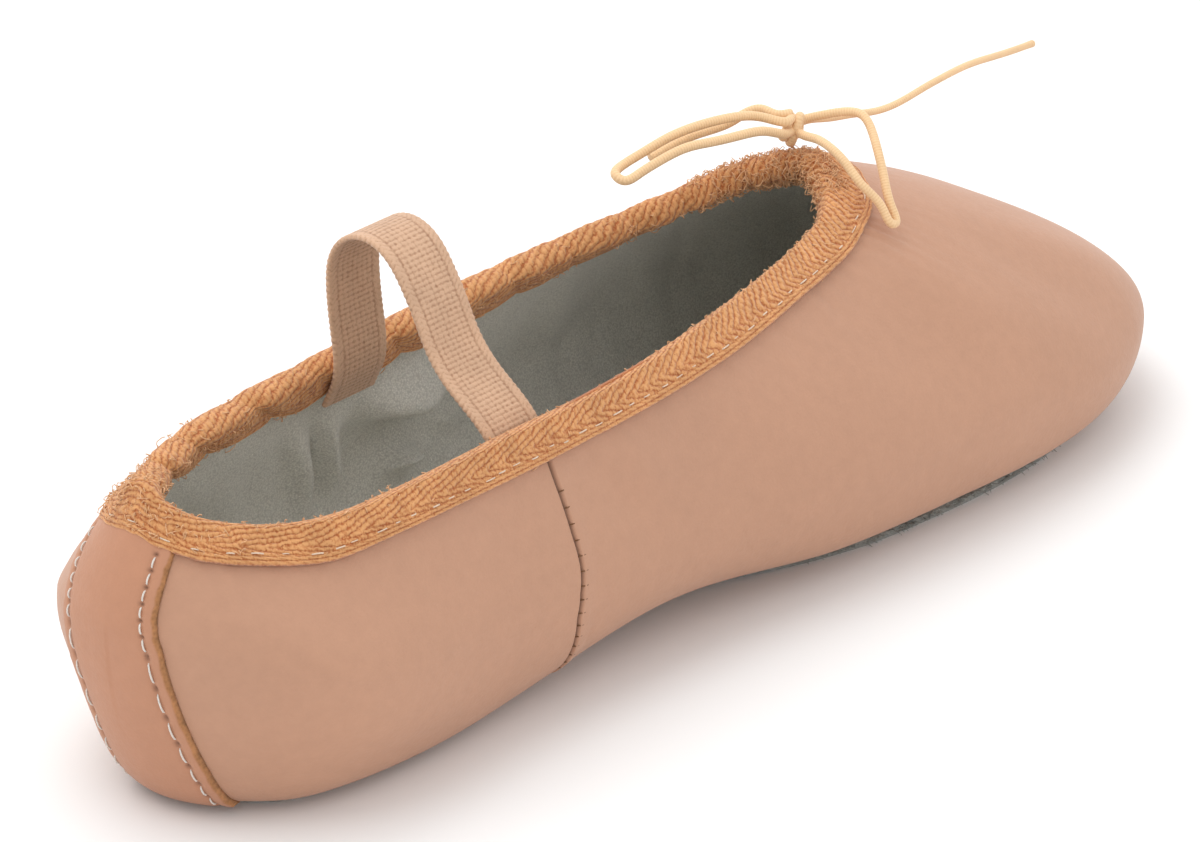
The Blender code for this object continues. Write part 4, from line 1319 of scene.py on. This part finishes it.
def sheet_faces(rows, columns):
    # Faces of an outer and an inner grid of points, joined round their edge
    count = rows * columns
    faces = grid_faces(rows, columns, False)
    faces = faces + [[i + count for i in quad[::-1]] for quad in faces]
    edge = list(range(columns)) + [r * columns + columns - 1 for r in range(1, rows)]
    edge += [(rows - 1) * columns + c for c in range(columns - 2, -1, -1)]
    edge += [r * columns for r in range(rows - 2, 0, -1)]
    return faces + [[b, a, count + a, count + b] for a, b in zip(edge, edge[1:] + edge[:1])]


def heel_strip(sizes, finish):
    # The strip with its needle holes, and its long edges cut at a slant; its seam mask paints shade
    # into the holes and a shadow along the edges
    even = np.linspace(-1, 1, STRIP_COLUMNS)
    across = np.sign(even) * (1 - (1 - np.abs(even)) ** 1.5) * STRIP_WIDTH / 2
    shares = np.linspace(0, 1, STRIP_ROWS)
    u, v = strip_places(shares, across, STRIP_TUCK)
    ragged = 0.00010 * np.sin(shares * 61) + 0.00005 * np.sin(shares * 143 + 1)
    from_edge = (STRIP_WIDTH / 2 - np.abs(across))[None, :] + ragged[:, None]
    slant = np.clip(from_edge / STRIP_SKIVE, 0, 1)
    hole = strip_holes(sizes, shares, across)
    sunk = SUNK_DEPTH * hump(np.abs(across)[None, :], strip_seam(sizes), SUNK_WIDTH)
    low_edge = step_up(shares, 0.0, 0.02)[:, None]
    high = CLEARANCE * 0.4 + STRIP_THICK * (0.12 + 0.88 * slant) * (0.3 + 0.7 * low_edge)
    bend = leather_bend(u, v)
    outer = shell(u, v, bend + high + CLEARANCE * 0.6 * slant - sunk - HOLE_DEPTH * hole)
    inner = shell(u, v, bend + 0.00004)
    cut = 1 - np.clip((from_edge - STRIP_SKIVE * 0.75) / (STRIP_SKIVE * 0.3), 0, 1)
    # Painted shadow along the strip's edges, and painted shade in its needle holes, both carried by the
    # seam mask
    edge_shadow = np.exp(-np.maximum(from_edge, 0) / EDGE_SHADOW_WIDTH)
    seam = np.maximum(hole, edge_shadow * 0.9)
    return add_piece("heel_strip_leather", np.stack([outer, inner]), sheet_faces(*u.shape), finish,
                     ("heel_strip",),
                     {"cut": np.stack([cut, cut]), "seam": np.stack([seam, np.zeros(u.shape)])})


# The collar tape: its grid, the two twisted cords along each edge, the line where its slant
# turns back, the length of a loop, its rounded edge and how far in its stitches run
TAPE_COLUMNS = 1380
TAPE_OUT_ROWS = 26
TAPE_TOP_ROWS = 13
TAPE_IN_ROWS = 22
TAPE_CORD = 0.00085
TAPE_FLIP = 0.0034
TAPE_LOOP = 0.00125
TAPE_ROUND = 0.0004
TAPE_LOW_EDGE = 0.0008
TAPE_STITCH = 0.0020
# How gathers swell the tape: the middle and width of the swell across it, how full a bulge
# is, how deep a crease is drawn in, and how far its two edges are pulled up at a crease
SWELL_MIDDLE = 0.64
SWELL_WIDTH = 0.30
BULGE_FULL = 1.25
CREASE_DEEP = 0.45
INNER_PULL = 0.0046
OUTER_PULL = 0.0006


def tape_lengths():
    # The tape's columns, closed at the heel, and the length gone along the rim at each
    u = np.linspace(0, 1, TAPE_COLUMNS)
    return u, lengths_along(skin(u, np.full(len(u), 2.0)))


def tape_rows(u):
    # Down the skin, out from it, the way it faces and the length gone from the lower edge,
    # for each row of the tape over the rim, before it is gathered
    far = CLEARANCE + BINDING_THICK
    inner = -WALL - CLEARANCE - BINDING_EASE - BINDING_THICK
    over = at_places(TAPE_PLACES, "over", u)[:, None]
    under = at_places(TAPE_PLACES, "under", u)[:, None]
    sunk = np.maximum(-over, 0)
    share = np.linspace(0, 1, TAPE_OUT_ROWS, endpoint=False)[None, :]
    turn = np.linspace(0, np.pi, TAPE_TOP_ROWS)[None, :]
    deep = np.linspace(0, 1, TAPE_IN_ROWS + 1)[None, 1:]
    half = (far - inner) / 2
    outside = under + (sunk - under) * share
    rounded = 0.5 + 0.5 * np.sqrt(1 - (1 - np.clip((under - outside) / TAPE_LOW_EDGE, 0, 1)) ** 2)
    down = np.concatenate([outside, sunk - np.maximum(over, TAPE_ROUND) * np.sin(turn),
                           sunk + (BINDING_INSIDE - sunk) * deep], 1)
    wide = np.ones_like(under)
    out = np.concatenate([far * rounded, (inner + half + half * np.cos(turn)) * wide,
                          inner * np.ones_like(deep) * wide], 1)
    facing = np.concatenate([0 * share, turn, np.pi + 0 * deep], 1) * wide
    crest = under - sunk
    gone = np.concatenate([under - outside, crest + half * 0.9 * turn,
                           crest + half * 0.9 * np.pi + BINDING_INSIDE * deep], 1)
    return down, out, facing, gone


def gather_at(u):
    return at_places(GATHERS, "amount", u)


def tape_bulge(u, share):
    # 0 in the creases of the gathered tape, 1 on the round between two of them
    moved = (u[:, None] + CREASE_SLANT * (share - 0.5)) % 1.0
    creases = np.array(TAPE_CREASES)
    after = np.clip(np.searchsorted(creases, moved, side="right"), 1, len(creases) - 1)
    part = (moved - creases[after - 1]) / (creases[after] - creases[after - 1])
    return (1 - (2 * np.clip(part, 0, 1) - 1) ** 2) ** 0.6


def gathered_tape(sizes, u):
    # The tape's rows once it is gathered: down, out, the way it faces and the length gone
    down, out, facing, gone = tape_rows(u)
    share = gone / gone[:, -1:]
    amount = gather_at(u)[:, None]
    bulge = tape_bulge(u, share)
    slack = wobble(u[:, None] + 0.02 * share, (43, 61, 89), (0.15, 0.62, 0.38))
    swell = hump(share, SWELL_MIDDLE, SWELL_WIDTH) * amount * sizes.tape_pucker
    puff = swell * (BULGE_FULL * bulge - CREASE_DEEP + 0.22 * slack)
    held = (1 - bulge) * amount
    down = down - held * INNER_PULL * step_up(share, 0.55, 1.0)
    down = down + amount * 0.0007 * slack * (share - 0.5) - held * OUTER_PULL * (1 - share)
    return down - puff * np.sin(facing), out + puff * np.cos(facing), facing, gone


def tape_weave(u, rim_gone, gone):
    # Places on the tape counted in slanting rows, in loops of a row and in turns of the
    # cords at its edges, and the distance from the nearer edge
    along = at_places(TAPE_ROWS, "along", u)
    across = at_places(TAPE_ROWS, "across", u)
    step = np.diff(rim_gone)
    rows = np.r_[0, np.cumsum(step / ((along[1:] + along[:-1]) / 2))]
    rows = rows * np.round(rows[-1]) / rows[-1]
    slope = np.arctan2(across, along)
    run = np.r_[0, np.cumsum(step * np.cos((slope[1:] + slope[:-1]) / 2))]
    whole = gone[:, -1:]
    edge = np.minimum(gone, whole - gone)
    climbed = np.where(gone < TAPE_FLIP, TAPE_FLIP - gone, gone - TAPE_FLIP)
    climbed = np.where(gone > whole - TAPE_FLIP, 2 * whole - 3 * TAPE_FLIP - gone, climbed)
    uneven = 0.10 * wobble(u, (31, 57, 88), (0.2, 0.5, 0.8))[:, None]
    row = rows[:, None] - climbed / across[:, None] + uneven
    loop = (run[:, None] + climbed * np.sin(slope)[:, None]) / TAPE_LOOP
    twist = rim_gone[:, None] / 0.0019 + uneven
    return row, loop, twist + 0 * gone, edge


def collar_tape(sizes, finish):
    u, rim_gone = tape_lengths()
    down, out, facing, gone = gathered_tape(sizes, u)
    row, loop, twist, edge = tape_weave(u, rim_gone, gone)
    centred = np.where(edge < 2 * TAPE_CORD, edge / TAPE_CORD, row) % 1.0 * 2 - 1
    ridge = (0.6 - centred ** 2) * sizes.tape_rib
    face = rim_points(u, down - ridge * np.sin(facing), out + ridge * np.cos(facing))
    inner = -WALL - CLEARANCE * 0.4
    near = CLEARANCE * 0.4
    low = down[:, :1] - 0.0003
    deep = down[:, -1:] - 0.0003
    level = np.zeros_like(low)
    under_down = np.concatenate([deep, deep * 0.5, level, level, low * 0.5, low], 1)
    under_out = np.array([inner, inner, inner, near, near, near]) + level
    hidden = rim_points(u, under_down, under_out)
    points = np.concatenate([face, hidden], 1).transpose(1, 0, 2)
    rest = np.zeros(under_out.shape)
    masks = {name: np.concatenate([values, rest], 1).T for name, values in
             (("row", row), ("loop", loop), ("twist", twist), ("edge", edge))}
    faces = grid_faces(points.shape[0], len(u), False, True)
    return add_piece("collar_tape", points, faces, finish,
                     ("collar_binding",), masks)


# The elastic: its grid, the pitch of its two sets of ribs, its plain edge, and how far down
# the far lining it shows
STRAP_STEPS = 560
STRAP_COLUMNS = 58
STRAP_CROSS_RIB = 0.00088
STRAP_LONG_RIB = 0.00112
STRAP_SELVEDGE = 0.0017
STRAP_SHOWN = 0.0068


def u_at(along, v, side):
    # Where a level of the skin passes a distance from the heel, on the near side or far side
    u = np.linspace(0, 0.5, 301)
    line = LENGTH / 2 - skin(u, np.full(len(u), v))[:, 1]
    found = np.interp(along, line, u)
    return found if side > 0 else 1 - found


def strap_line():
    # The strap's middle line: sewn inside the near wall, over the arch, inside the far wall
    deep = -(WALL + 2 * CLEARANCE + BINDING_EASE + BINDING_THICK + STRAP_THICK / 2
             + STRAP_EASE)
    legs = []
    for side, reach in ((1, STRAP_SEWN), (-1, STRAP_SHOWN)):
        downs = np.array([[reach, reach * 0.6, reach * 0.2]])
        u = np.array([u_at(STRAP_ALONG, 2.0, side)])
        legs.append(rim_points(u, downs, np.full(downs.shape, deep))[0])
    rim_near = skin(np.array([u_at(STRAP_ALONG, 2.0, 1)]), np.array([2.0]))[0]
    half = abs(legs[0][-1][0])
    arch = np.array([place(STRAP_ALONG, fold.across * half, rim_near[2] + fold.rise * STRAP_RISE)
                     for fold in STRAP_FOLDS])
    route = np.concatenate([legs[0], arch, legs[1][::-1]])
    route[:, 1] = LENGTH / 2 - STRAP_ALONG
    gone = lengths_along(route)
    return curve_through(gone / gone[-1], route, np.linspace(0, 1, STRAP_STEPS + 1), False)


def strap_weave(x, y):
    # Height of the elastic's weave: pillows between crossing ribs, and plain edges
    crossing = 0.5 + 0.5 * np.cos(2 * np.pi * x / STRAP_CROSS_RIB)
    length_lines = np.abs(np.cos(np.pi * y / STRAP_LONG_RIB)) ** 0.6
    field = (0.35 + 0.65 * crossing) * (0.35 + 0.65 * length_lines)
    edge = STRAP_WIDTH / 2 - np.abs(y)
    chevron = 0.5 + 0.5 * np.cos(2 * np.pi * (x / 0.0010 + np.abs(edge - 0.0007) / 0.0012))
    plain = 0.45 + 0.45 * chevron
    line = hump(edge, STRAP_SELVEDGE + 0.0002, 0.00022)
    share = step_up(edge, STRAP_SELVEDGE, STRAP_SELVEDGE + 0.0003)
    return (plain * (1 - share) + field * share) * (1 - 0.5 * line)


def instep_strap(sizes, finish):
    line = strap_line()
    gone = lengths_along(line)
    ahead = unit(np.gradient(line, axis=0))
    wide = np.array([0, 1.0, 0])
    thick = np.cross(ahead, wide)
    y = np.linspace(-STRAP_WIDTH / 2, STRAP_WIDTH / 2, STRAP_COLUMNS)
    height = strap_weave(gone[:, None], y[None, :])
    scallop = 0.00007 * np.cos(2 * np.pi * gone / 0.0011)
    spread = y[None, :] * (1 + scallop[:, None] / (STRAP_WIDTH / 2))
    edge = np.clip((STRAP_WIDTH / 2 - np.abs(y)) / 0.0004, 0, 1)
    half = (STRAP_THICK / 2 - 0.0001) * (0.45 + 0.55 * np.sqrt(edge))
    faces_out = []
    for side in (1, -1):
        out = half[None, :] + (height - 0.5) * sizes.strap_rib
        faces_out.append(line[:, None] + wide * spread[..., None]
                         + thick[:, None] * (side * out)[..., None])
    points = np.concatenate([faces_out[0], faces_out[1][:, ::-1]], 1)
    relief = np.concatenate([height, height[:, ::-1]], 1)
    columns = 2 * STRAP_COLUMNS
    faces = [quad[::-1] for quad in grid_faces(len(line), columns, True)]
    last = (len(line) - 1) * columns
    faces.append(list(range(columns)))
    faces.append(list(range(last, last + columns))[::-1])
    return add_piece("instep_strap_elastic", points, faces, finish,
                     ("instep_strap",), {"relief": relief})


# The sole: its grid and the part of its middle line that the rings shrink to
SOLE_COLUMNS = 420
SOLE_RINGS = 22
SOLE_SPINE = (0.12, 0.86)
# How far the ragged edge stands out past the solid's
SOLE_SPREAD = 0.0015
# The loose fibres of that edge: from which share of the way round on, how long and how thick
FIBRES_FROM = 0.24
SOLE_FIBRE_LENGTH = (0.0006, 0.0019)
FIBRE_RADIUS = 0.00007


def sole_inset(along):
    # How far the outsole's edge lies in from the leather's: more behind the ball
    share = np.clip((along / LENGTH - TUCK_FROM) / (TUCK_TO - TUCK_FROM), 0, 1)
    return SOLE_INSET + SOLE_TUCK * (1 - share)


def spine_points(u):
    # Points on the sole's middle line that its rings shrink to
    edge = rib_lines(u)[0]
    along = np.clip(edge[:, 0], SOLE_SPINE[0] * LENGTH, SOLE_SPINE[1] * LENGTH)
    return np.stack([along, np.zeros(len(u))], -1)


def level_disc(inset, high, shares, uneven=None):
    # Rings from a level outline in to the sole's middle line, riding on the arch and spring
    u = np.arange(SOLE_COLUMNS) / SOLE_COLUMNS
    edge = rib_lines(u)[0][:, :2] + inward(u) * np.reshape(inset, (-1, 1))
    middle = spine_points(u)
    rings = []
    for share in shares:
        spot = edge + (middle - edge) * share
        level = high + lift(spot[:, 0])
        if uneven is not None:
            level = level + uneven(u, share)
        rings.append(place(spot[:, 0], spot[:, 1], level))
    return rings


def close_middle(first):
    # Rungs across the innermost ring of a disc
    faces = []
    for i in range(SOLE_COLUMNS // 2):
        corners = [first + i, first + i + 1, first + (SOLE_COLUMNS - i - 1) % SOLE_COLUMNS,
                   first + (SOLE_COLUMNS - i) % SOLE_COLUMNS]
        faces.append(list(dict.fromkeys(corners)))
    return faces


def disc_faces(rings):
    # Faces of a stack of rings, closed with rungs below and above
    faces = grid_faces(rings, SOLE_COLUMNS, True)
    faces += [face[::-1] for face in close_middle(0)]
    return faces + close_middle((rings - 1) * SOLE_COLUMNS)


def sole_suede(finish):
    # The outsole: a napped underside and a ragged cut edge
    shares = 1 - np.linspace(1, 0, SOLE_RINGS) ** 1.3
    u = np.arange(SOLE_COLUMNS) / SOLE_COLUMNS
    inset = sole_inset(rib_lines(u)[0][:, 0]) - SOLE_SPREAD
    nap = (wobble(u, (97, 131, 173), (0.1, 0.6, 0.3)) * 0.00028
           + wobble(u, (23, 37, 51), (0.4, 0.2, 0.7)) * 0.00034)
    under = level_disc(inset, 0.0, shares * 0.985)[::-1]
    wall = [level_disc(inset - nap * k, SOLE_THICK * share, [0.0])[0]
            for k, share in ((0.4, 0.15), (1.0, 0.45), (0.7, 0.95))]
    over = level_disc(inset, SOLE_THICK + 0.0001, np.linspace(0, 0.985, 8))
    rings = np.array(under + wall + over)
    return add_piece("sole_suede_piece", rings, disc_faces(len(rings)), finish,
                     ("outsole",))


def sole_fibres(sizes, finish):
    # Ragged grey fibres that stand out from the cut edge of the sole round the forefoot
    chance = np.random.default_rng(SEED + 1)
    count = sizes.sole_fibre_count
    u = chance.uniform(FIBRES_FROM, 1 - FIBRES_FROM, count)
    edge = rib_lines(u)[0]
    way = -inward(u)
    inset = sole_inset(edge[:, 0]) - SOLE_SPREAD + 0.0003
    along, across = edge[:, 0] - way[:, 0] * inset, edge[:, 1] - way[:, 1] * inset
    high = SOLE_THICK * chance.uniform(0.3, 1.0, count) + lift(edge[:, 0])
    roots = place(along, across, high)
    outward = unit(np.stack([-way[:, 1], -way[:, 0], np.zeros(count)], -1))
    beside = np.cross(outward, (0, 0, 1.0))
    length = chance.uniform(*SOLE_FIBRE_LENGTH, count)[:, None]
    drift = outward * 0.8 + beside * chance.normal(0, 0.7, (count, 1))
    climb = np.array([0, 0, 1.0]) * chance.uniform(-0.25, 0.75, (count, 1))
    tips = roots + unit(drift + climb) * length
    share = np.linspace(0, 1, 4)[None, :, None]
    sag = np.array([0, 0, 0.12]) * np.sin(np.pi * share) * length[:, None]
    lines = roots[:, None] + (tips - roots)[:, None] * share + sag
    lines[..., 2] = np.maximum(lines[..., 2], 0.0001)
    points, faces = small_tubes(lines, outward, FIBRE_RADIUS, 4, 0.5)
    return add_piece("sole_fibres", points, faces, finish)


def insole_knit(finish):
    # The sock inside, a little uneven where the turned leather lies under it
    def uneven(u, share):
        margin = 0.00035 * hump(share, 0.34, 0.10)
        return margin + 0.0002 * wobble(u, (9, 14, 22), (0.3, 0.8, 0.5)) * np.sin(np.pi * share)
    seat = SOLE_THICK + 2 * CLEARANCE + WALL
    top = seat + INSOLE_THICK
    core = LASTING_MARGIN + CLEARANCE
    rings = level_disc(core, SOLE_THICK + CLEARANCE, [0.97, 0.0])
    rings += level_disc(core, seat, [0.0])
    rings += level_disc(0.0, seat, [0.0])
    rings += level_disc(0.0, top, np.linspace(0, 0.97, 22), uneven)
    return add_piece("insole_knit", np.array(rings), disc_faces(len(rings)), finish,
                     ("insole",))


# Sewing thread: how far each kind of stitch stands out, and the ticks of the side seam
STRIP_STITCH_RISE = 0.00030
TAPE_STITCH_RISE = 0.00026
TICK_RISE = 0.00010
TICK_RADIUS = 0.00012
TICK_LEVELS = (0.42, 1.62, 15)
TICK_SHORT_FROM = 1.3
TICK_LOW = 0.0011
TICK_HIGH = 0.0006


def stitch_lines(starts, ends, outward, rise):
    # Short threads that dip into their holes at both ends
    share = np.array([0.0, 0.12, 0.35, 0.65, 0.88, 1.0])
    high = np.array([-0.8, 0.35, 1.0, 1.0, 0.35, -0.8])
    lines = starts[:, None] + (ends - starts)[:, None] * share[None, :, None]
    return lines + outward[:, None] * (high * rise)[None, :, None]


def add_threads(name, starts, ends, outs, rise, radius, sides, finish):
    # Short threads from hole to hole, as one piece
    outs = np.array(outs)
    lines = stitch_lines(np.array(starts), np.array(ends), outs, rise)
    points, faces = small_tubes(lines, outs, radius, sides)
    return add_piece(name, points, faces, finish)


def strip_stitches(sizes, finish):
    # Two rows of white stitches down the heel strip
    shares = strip_stitch_shares(sizes.stitch_step)
    gap = 0.16 * (shares[1] - shares[0])
    starts, ends, outs = [], [], []
    for side in (-1, 1):
        for a, b in zip(shares, shares[1:]):
            u, v = strip_places((a + gap, b - gap), np.array([side * strip_seam(sizes)]),
                                STRIP_TUCK)
            high = leather_bend(u, v)[:, 0] + CLEARANCE + STRIP_THICK - 0.00018
            spots = shell(u[:, 0], v[:, 0], high)
            starts.append(spots[0])
            ends.append(spots[1])
            outs.append(normal(u[0, 0], v[0, 0]))
    return add_threads("strip_stitches", starts, ends, outs, STRIP_STITCH_RISE,
                       sizes.thread_diameter / 2, 8, finish)


def tape_stitches(sizes, finish):
    # The white lockstitch that holds the collar tape, half hidden in its weave
    chance = np.random.default_rng(SEED + 2)
    u, rim_gone = tape_lengths()
    count = int(rim_gone[-1] / (sizes.stitch_step * 1.15))
    at = (np.arange(count) + chance.uniform(-0.18, 0.18, count)) / count * rim_gone[-1]
    reach = sizes.stitch_step * chance.uniform(0.25, 0.75, count)
    spots = []
    level = TAPE_STITCH + chance.uniform(-0.0003, 0.0003, count)
    for gone_to in (at, at + reach):
        line_u = np.interp(gone_to % rim_gone[-1], rim_gone, u)
        down, out, _, gone = gathered_tape(sizes, line_u)
        down_at = [np.interp(y, g, d) for y, g, d in zip(level, gone, down)]
        out_at = [np.interp(y, g, o) for y, g, o in zip(level, gone, out)]
        shown = np.array(out_at) - sizes.tape_rib * 0.2
        spots.append(rim_points(line_u, np.array(down_at)[:, None], shown[:, None])[:, 0])
    outs = normal(np.interp(at % rim_gone[-1], rim_gone, u), np.full(count, 1.8))
    radius = sizes.thread_diameter * chance.uniform(0.26, 0.44, count)
    return add_threads("tape_stitches", spots[0], spots[1], outs, TAPE_STITCH_RISE, radius, 7,
                       finish)


def seam_ticks(finish):
    # The thread that shows between the two leathers of each side seam
    starts, ends, outs = [], [], []
    for side in (1, -1):
        for v in np.linspace(*TICK_LEVELS):
            reach = (TICK_LOW if v < TICK_SHORT_FROM else TICK_HIGH) / SKIN_ROUND * side
            u = seam_u(v, side) + np.array([-0.35, 1.0]) * reach
            spots = shell(u, np.full(2, v), np.array([-0.00012, 0.00022]))
            starts.append(spots[0])
            ends.append(spots[1])
            outs.append(normal(u[0], v))
    return add_threads("seam_ticks", starts, ends, outs, TICK_RISE, TICK_RADIUS, 6, finish)


# Loose fibres on the tape: how thick they are, then where they grow round the rim and across
# the tape, the share of them in each patch and their size
LOOSE_FIBRE_RADIUS = 0.00008
FuzzPatch = namedtuple("FuzzPatch", "u_from u_to low high share size")
FUZZ_PATCHES = (
    FuzzPatch(0.00, 1.00, 0.50, 1.00, 0.26, 0.8),
    FuzzPatch(0.40, 0.66, 0.30, 0.75, 0.36, 0.9),
    FuzzPatch(0.47, 0.59, 0.70, 1.00, 0.34, 1.0),
    FuzzPatch(0.84, 1.06, 0.10, 0.95, 0.26, 0.8),
    FuzzPatch(0.00, 0.36, 0.42, 0.60, 0.10, 0.4),
    FuzzPatch(0.00, 1.00, 0.00, 0.40, 0.06, 0.4),
)


def fuzz_roots(sizes, chance):
    # Where the loose fibres grow on the tape, the way they stand and how long they are
    roots, outs, lengths = [], [], []
    for patch in FUZZ_PATCHES:
        count = int(sizes.fibre_count * patch.share)
        u = chance.uniform(patch.u_from, patch.u_to, count) % 1.0
        share = chance.uniform(patch.low, patch.high, count)
        down, out, facing, _ = gathered_tape(sizes, u)
        row = (share * (down.shape[1] - 1)).astype(int)
        pick = (np.arange(count), row)
        roots.append(rim_points(u, down[pick][:, None], out[pick][:, None])[:, 0])
        edge = np.full(count, 2.0)
        up_way = unit(skin(u, edge) - skin(u, edge - NUDGE * 8))
        turn = facing[pick][:, None]
        outs.append(unit(normal(u, edge) * np.cos(turn) + up_way * np.sin(turn)))
        lengths.append(np.full(count, patch.size) * (0.6 + 0.5 * gather_at(u)))
    return np.concatenate(roots), np.concatenate(outs), np.concatenate(lengths)


def tape_fuzz(sizes, finish):
    # Loose fibres and pulled loops on the collar tape
    chance = np.random.default_rng(SEED)
    roots, outs, scale = fuzz_roots(sizes, chance)
    count = len(roots)
    length = sizes.fibre_length * chance.uniform(0.35, 1.05, count) * scale
    drift = unit(chance.normal(size=(count, 3)))
    flat = unit(drift - outs * np.sum(drift * outs, 1, keepdims=True))
    share = np.linspace(0, 1, 6)[None, :, None]
    loop = chance.uniform(0.12, 0.42, count)[:, None, None]
    lines = (roots[:, None] + flat[:, None] * share * (length * 0.8)[:, None, None]
             + outs[:, None] * np.sin(np.pi * share) * length[:, None, None] * loop
             - outs[:, None] * 0.0001)
    curl = chance.normal(size=(count, 1, 3)) * 0.0003
    lines = lines + curl * np.sin(2 * np.pi * share)
    points, faces = small_tubes(lines, unit(np.cross(flat, outs)), LOOSE_FIBRE_RADIUS, 4,
                                0.5)
    return add_piece("tape_fuzz", points, faces, finish)


class SLIPPER_OT_stage(bpy.types.Operator):
    """Build the camera, the soft lights and the pale floor"""

    bl_idname = "slipper.stage"
    bl_label = "Stage"

    def execute(self, context):
        context.scene.view_settings.view_transform = "Standard"
        make_camera()
        make_lights()
        make_floor(context.scene.slipper_colours.floor)
        return {"FINISHED"}


class SLIPPER_OT_bow(bpy.types.Operator):
    """Build the drawstring bow: two loops, two free ends and the wrap of the knot"""

    bl_idname = "slipper.bow"
    bl_label = "Bow"

    def execute(self, context):
        sizes = context.scene.slipper_sizes
        finish = cord_finish("bow_cover", context.scene.slipper_colours.cord)
        wrap = knot_wrap(sizes.cord_diameter, finish)
        for cord in BOW_CORDS:
            diameter = sizes.cord_diameter * cord.slim
            piece, line = cord_piece(cord, diameter, finish)
        return {"FINISHED"}


class SLIPPER_OT_upper(bpy.types.Operator):
    """Build the leather upper with its folds, gathers and side seams"""

    bl_idname = "slipper.upper"
    bl_label = "Upper"

    def execute(self, context):
        colours = context.scene.slipper_colours
        finish = leather_finish("upper_skin", colours.leather, colours.cut_edge)
        upper_leather(finish)
        dark = np.array(colours.cut_edge) * SEAM_THREAD_SHADE
        seam_ticks(thread_finish("seam_thread", dark, 3000.0))
        return {"FINISHED"}


class SLIPPER_OT_lining(bpy.types.Operator):
    """Build the knitted lining and the insole"""

    bl_idname = "slipper.lining"
    bl_label = "Lining"

    def execute(self, context):
        finish = knit_finish("lining_knit", context.scene.slipper_colours.lining)
        upper_lining(finish)
        insole_knit(finish)
        lining_threads(thread_finish("thread_ends", context.scene.slipper_colours.thread, 3600.0))
        return {"FINISHED"}


class SLIPPER_OT_heel_strip(bpy.types.Operator):
    """Build the leather strip down the back of the heel and its stitching"""

    bl_idname = "slipper.heel_strip"
    bl_label = "Heel strip"

    def execute(self, context):
        sizes = context.scene.slipper_sizes
        colours = context.scene.slipper_colours
        heel_strip(sizes, leather_finish("strip_skin", colours.strip, colours.cut_edge))
        strip_stitches(sizes, thread_finish("white_thread", colours.thread, 3600.0))
        return {"FINISHED"}


class SLIPPER_OT_collar_tape(bpy.types.Operator):
    """Build the gathered collar tape, its stitching and its loose fibres"""

    bl_idname = "slipper.collar_tape"
    bl_label = "Collar tape"

    def execute(self, context):
        sizes = context.scene.slipper_sizes
        colours = context.scene.slipper_colours
        collar_tape(sizes, tape_finish("collar_weave", colours.tape_crest, colours.tape_groove_shade))
        warm_thread = np.array(colours.thread) * TAPE_THREAD_TINT
        tape_stitches(sizes, thread_finish("tape_thread", warm_thread, 3600.0))
        pale_fibre = np.array(colours.tape_crest) * LOOSE_FIBRE_TINT
        tape_fuzz(sizes, thread_finish("loose_fibre", pale_fibre, 3000.0))
        return {"FINISHED"}


class SLIPPER_OT_strap(bpy.types.Operator):
    """Build the woven elastic strap over the instep"""

    bl_idname = "slipper.strap"
    bl_label = "Strap"

    def execute(self, context):
        colours = context.scene.slipper_colours
        finish = strap_finish("strap_weave", colours.elastic_crest, colours.elastic_groove_shade)
        instep_strap(context.scene.slipper_sizes, finish)
        return {"FINISHED"}


class SLIPPER_OT_sole(bpy.types.Operator):
    """Build the suede outsole and the loose fibres of its edge"""

    bl_idname = "slipper.sole"
    bl_label = "Sole"

    def execute(self, context):
        finish = suede_finish("sole_nap", context.scene.slipper_colours.suede)
        sole_suede(finish)
        sole_fibres(context.scene.slipper_sizes, finish)
        return {"FINISHED"}


class SLIPPER_PT_panel(bpy.types.Panel):
    """Lists the slipper's pieces, sizes and colours"""

    bl_idname = "SLIPPER_PT_panel"
    bl_label = "Ballet Slipper"
    bl_space_type = "VIEW_3D"
    bl_region_type = "UI"
    bl_category = "Slipper"

    def draw(self, context):
        for operator in OPERATORS:
            self.layout.operator(operator.bl_idname)
        for group in (context.scene.slipper_sizes, context.scene.slipper_colours):
            box = self.layout.box()
            for name in group.__annotations__:
                box.prop(group, name)


OPERATORS = (
    SLIPPER_OT_stage,
    SLIPPER_OT_bow,
    SLIPPER_OT_upper,
    SLIPPER_OT_lining,
    SLIPPER_OT_heel_strip,
    SLIPPER_OT_collar_tape,
    SLIPPER_OT_strap,
    SLIPPER_OT_sole,
)
CLASSES = (SlipperSizes, SlipperColours) + OPERATORS + (SLIPPER_PT_panel,)


def register():
    for cls in CLASSES:
        bpy.utils.register_class(cls)
    bpy.types.Scene.slipper_sizes = bpy.props.PointerProperty(type=SlipperSizes)
    bpy.types.Scene.slipper_colours = bpy.props.PointerProperty(type=SlipperColours)


def unregister():
    del bpy.types.Scene.slipper_colours
    del bpy.types.Scene.slipper_sizes
    for cls in reversed(CLASSES):
        bpy.utils.unregister_class(cls)


def main():
    register()
    bpy.ops.slipper.stage()
    bpy.ops.slipper.bow()
    bpy.ops.slipper.upper()
    bpy.ops.slipper.lining()
    bpy.ops.slipper.heel_strip()
    bpy.ops.slipper.collar_tape()
    bpy.ops.slipper.strap()
    bpy.ops.slipper.sole()


if __name__ == "__main__":
    main()
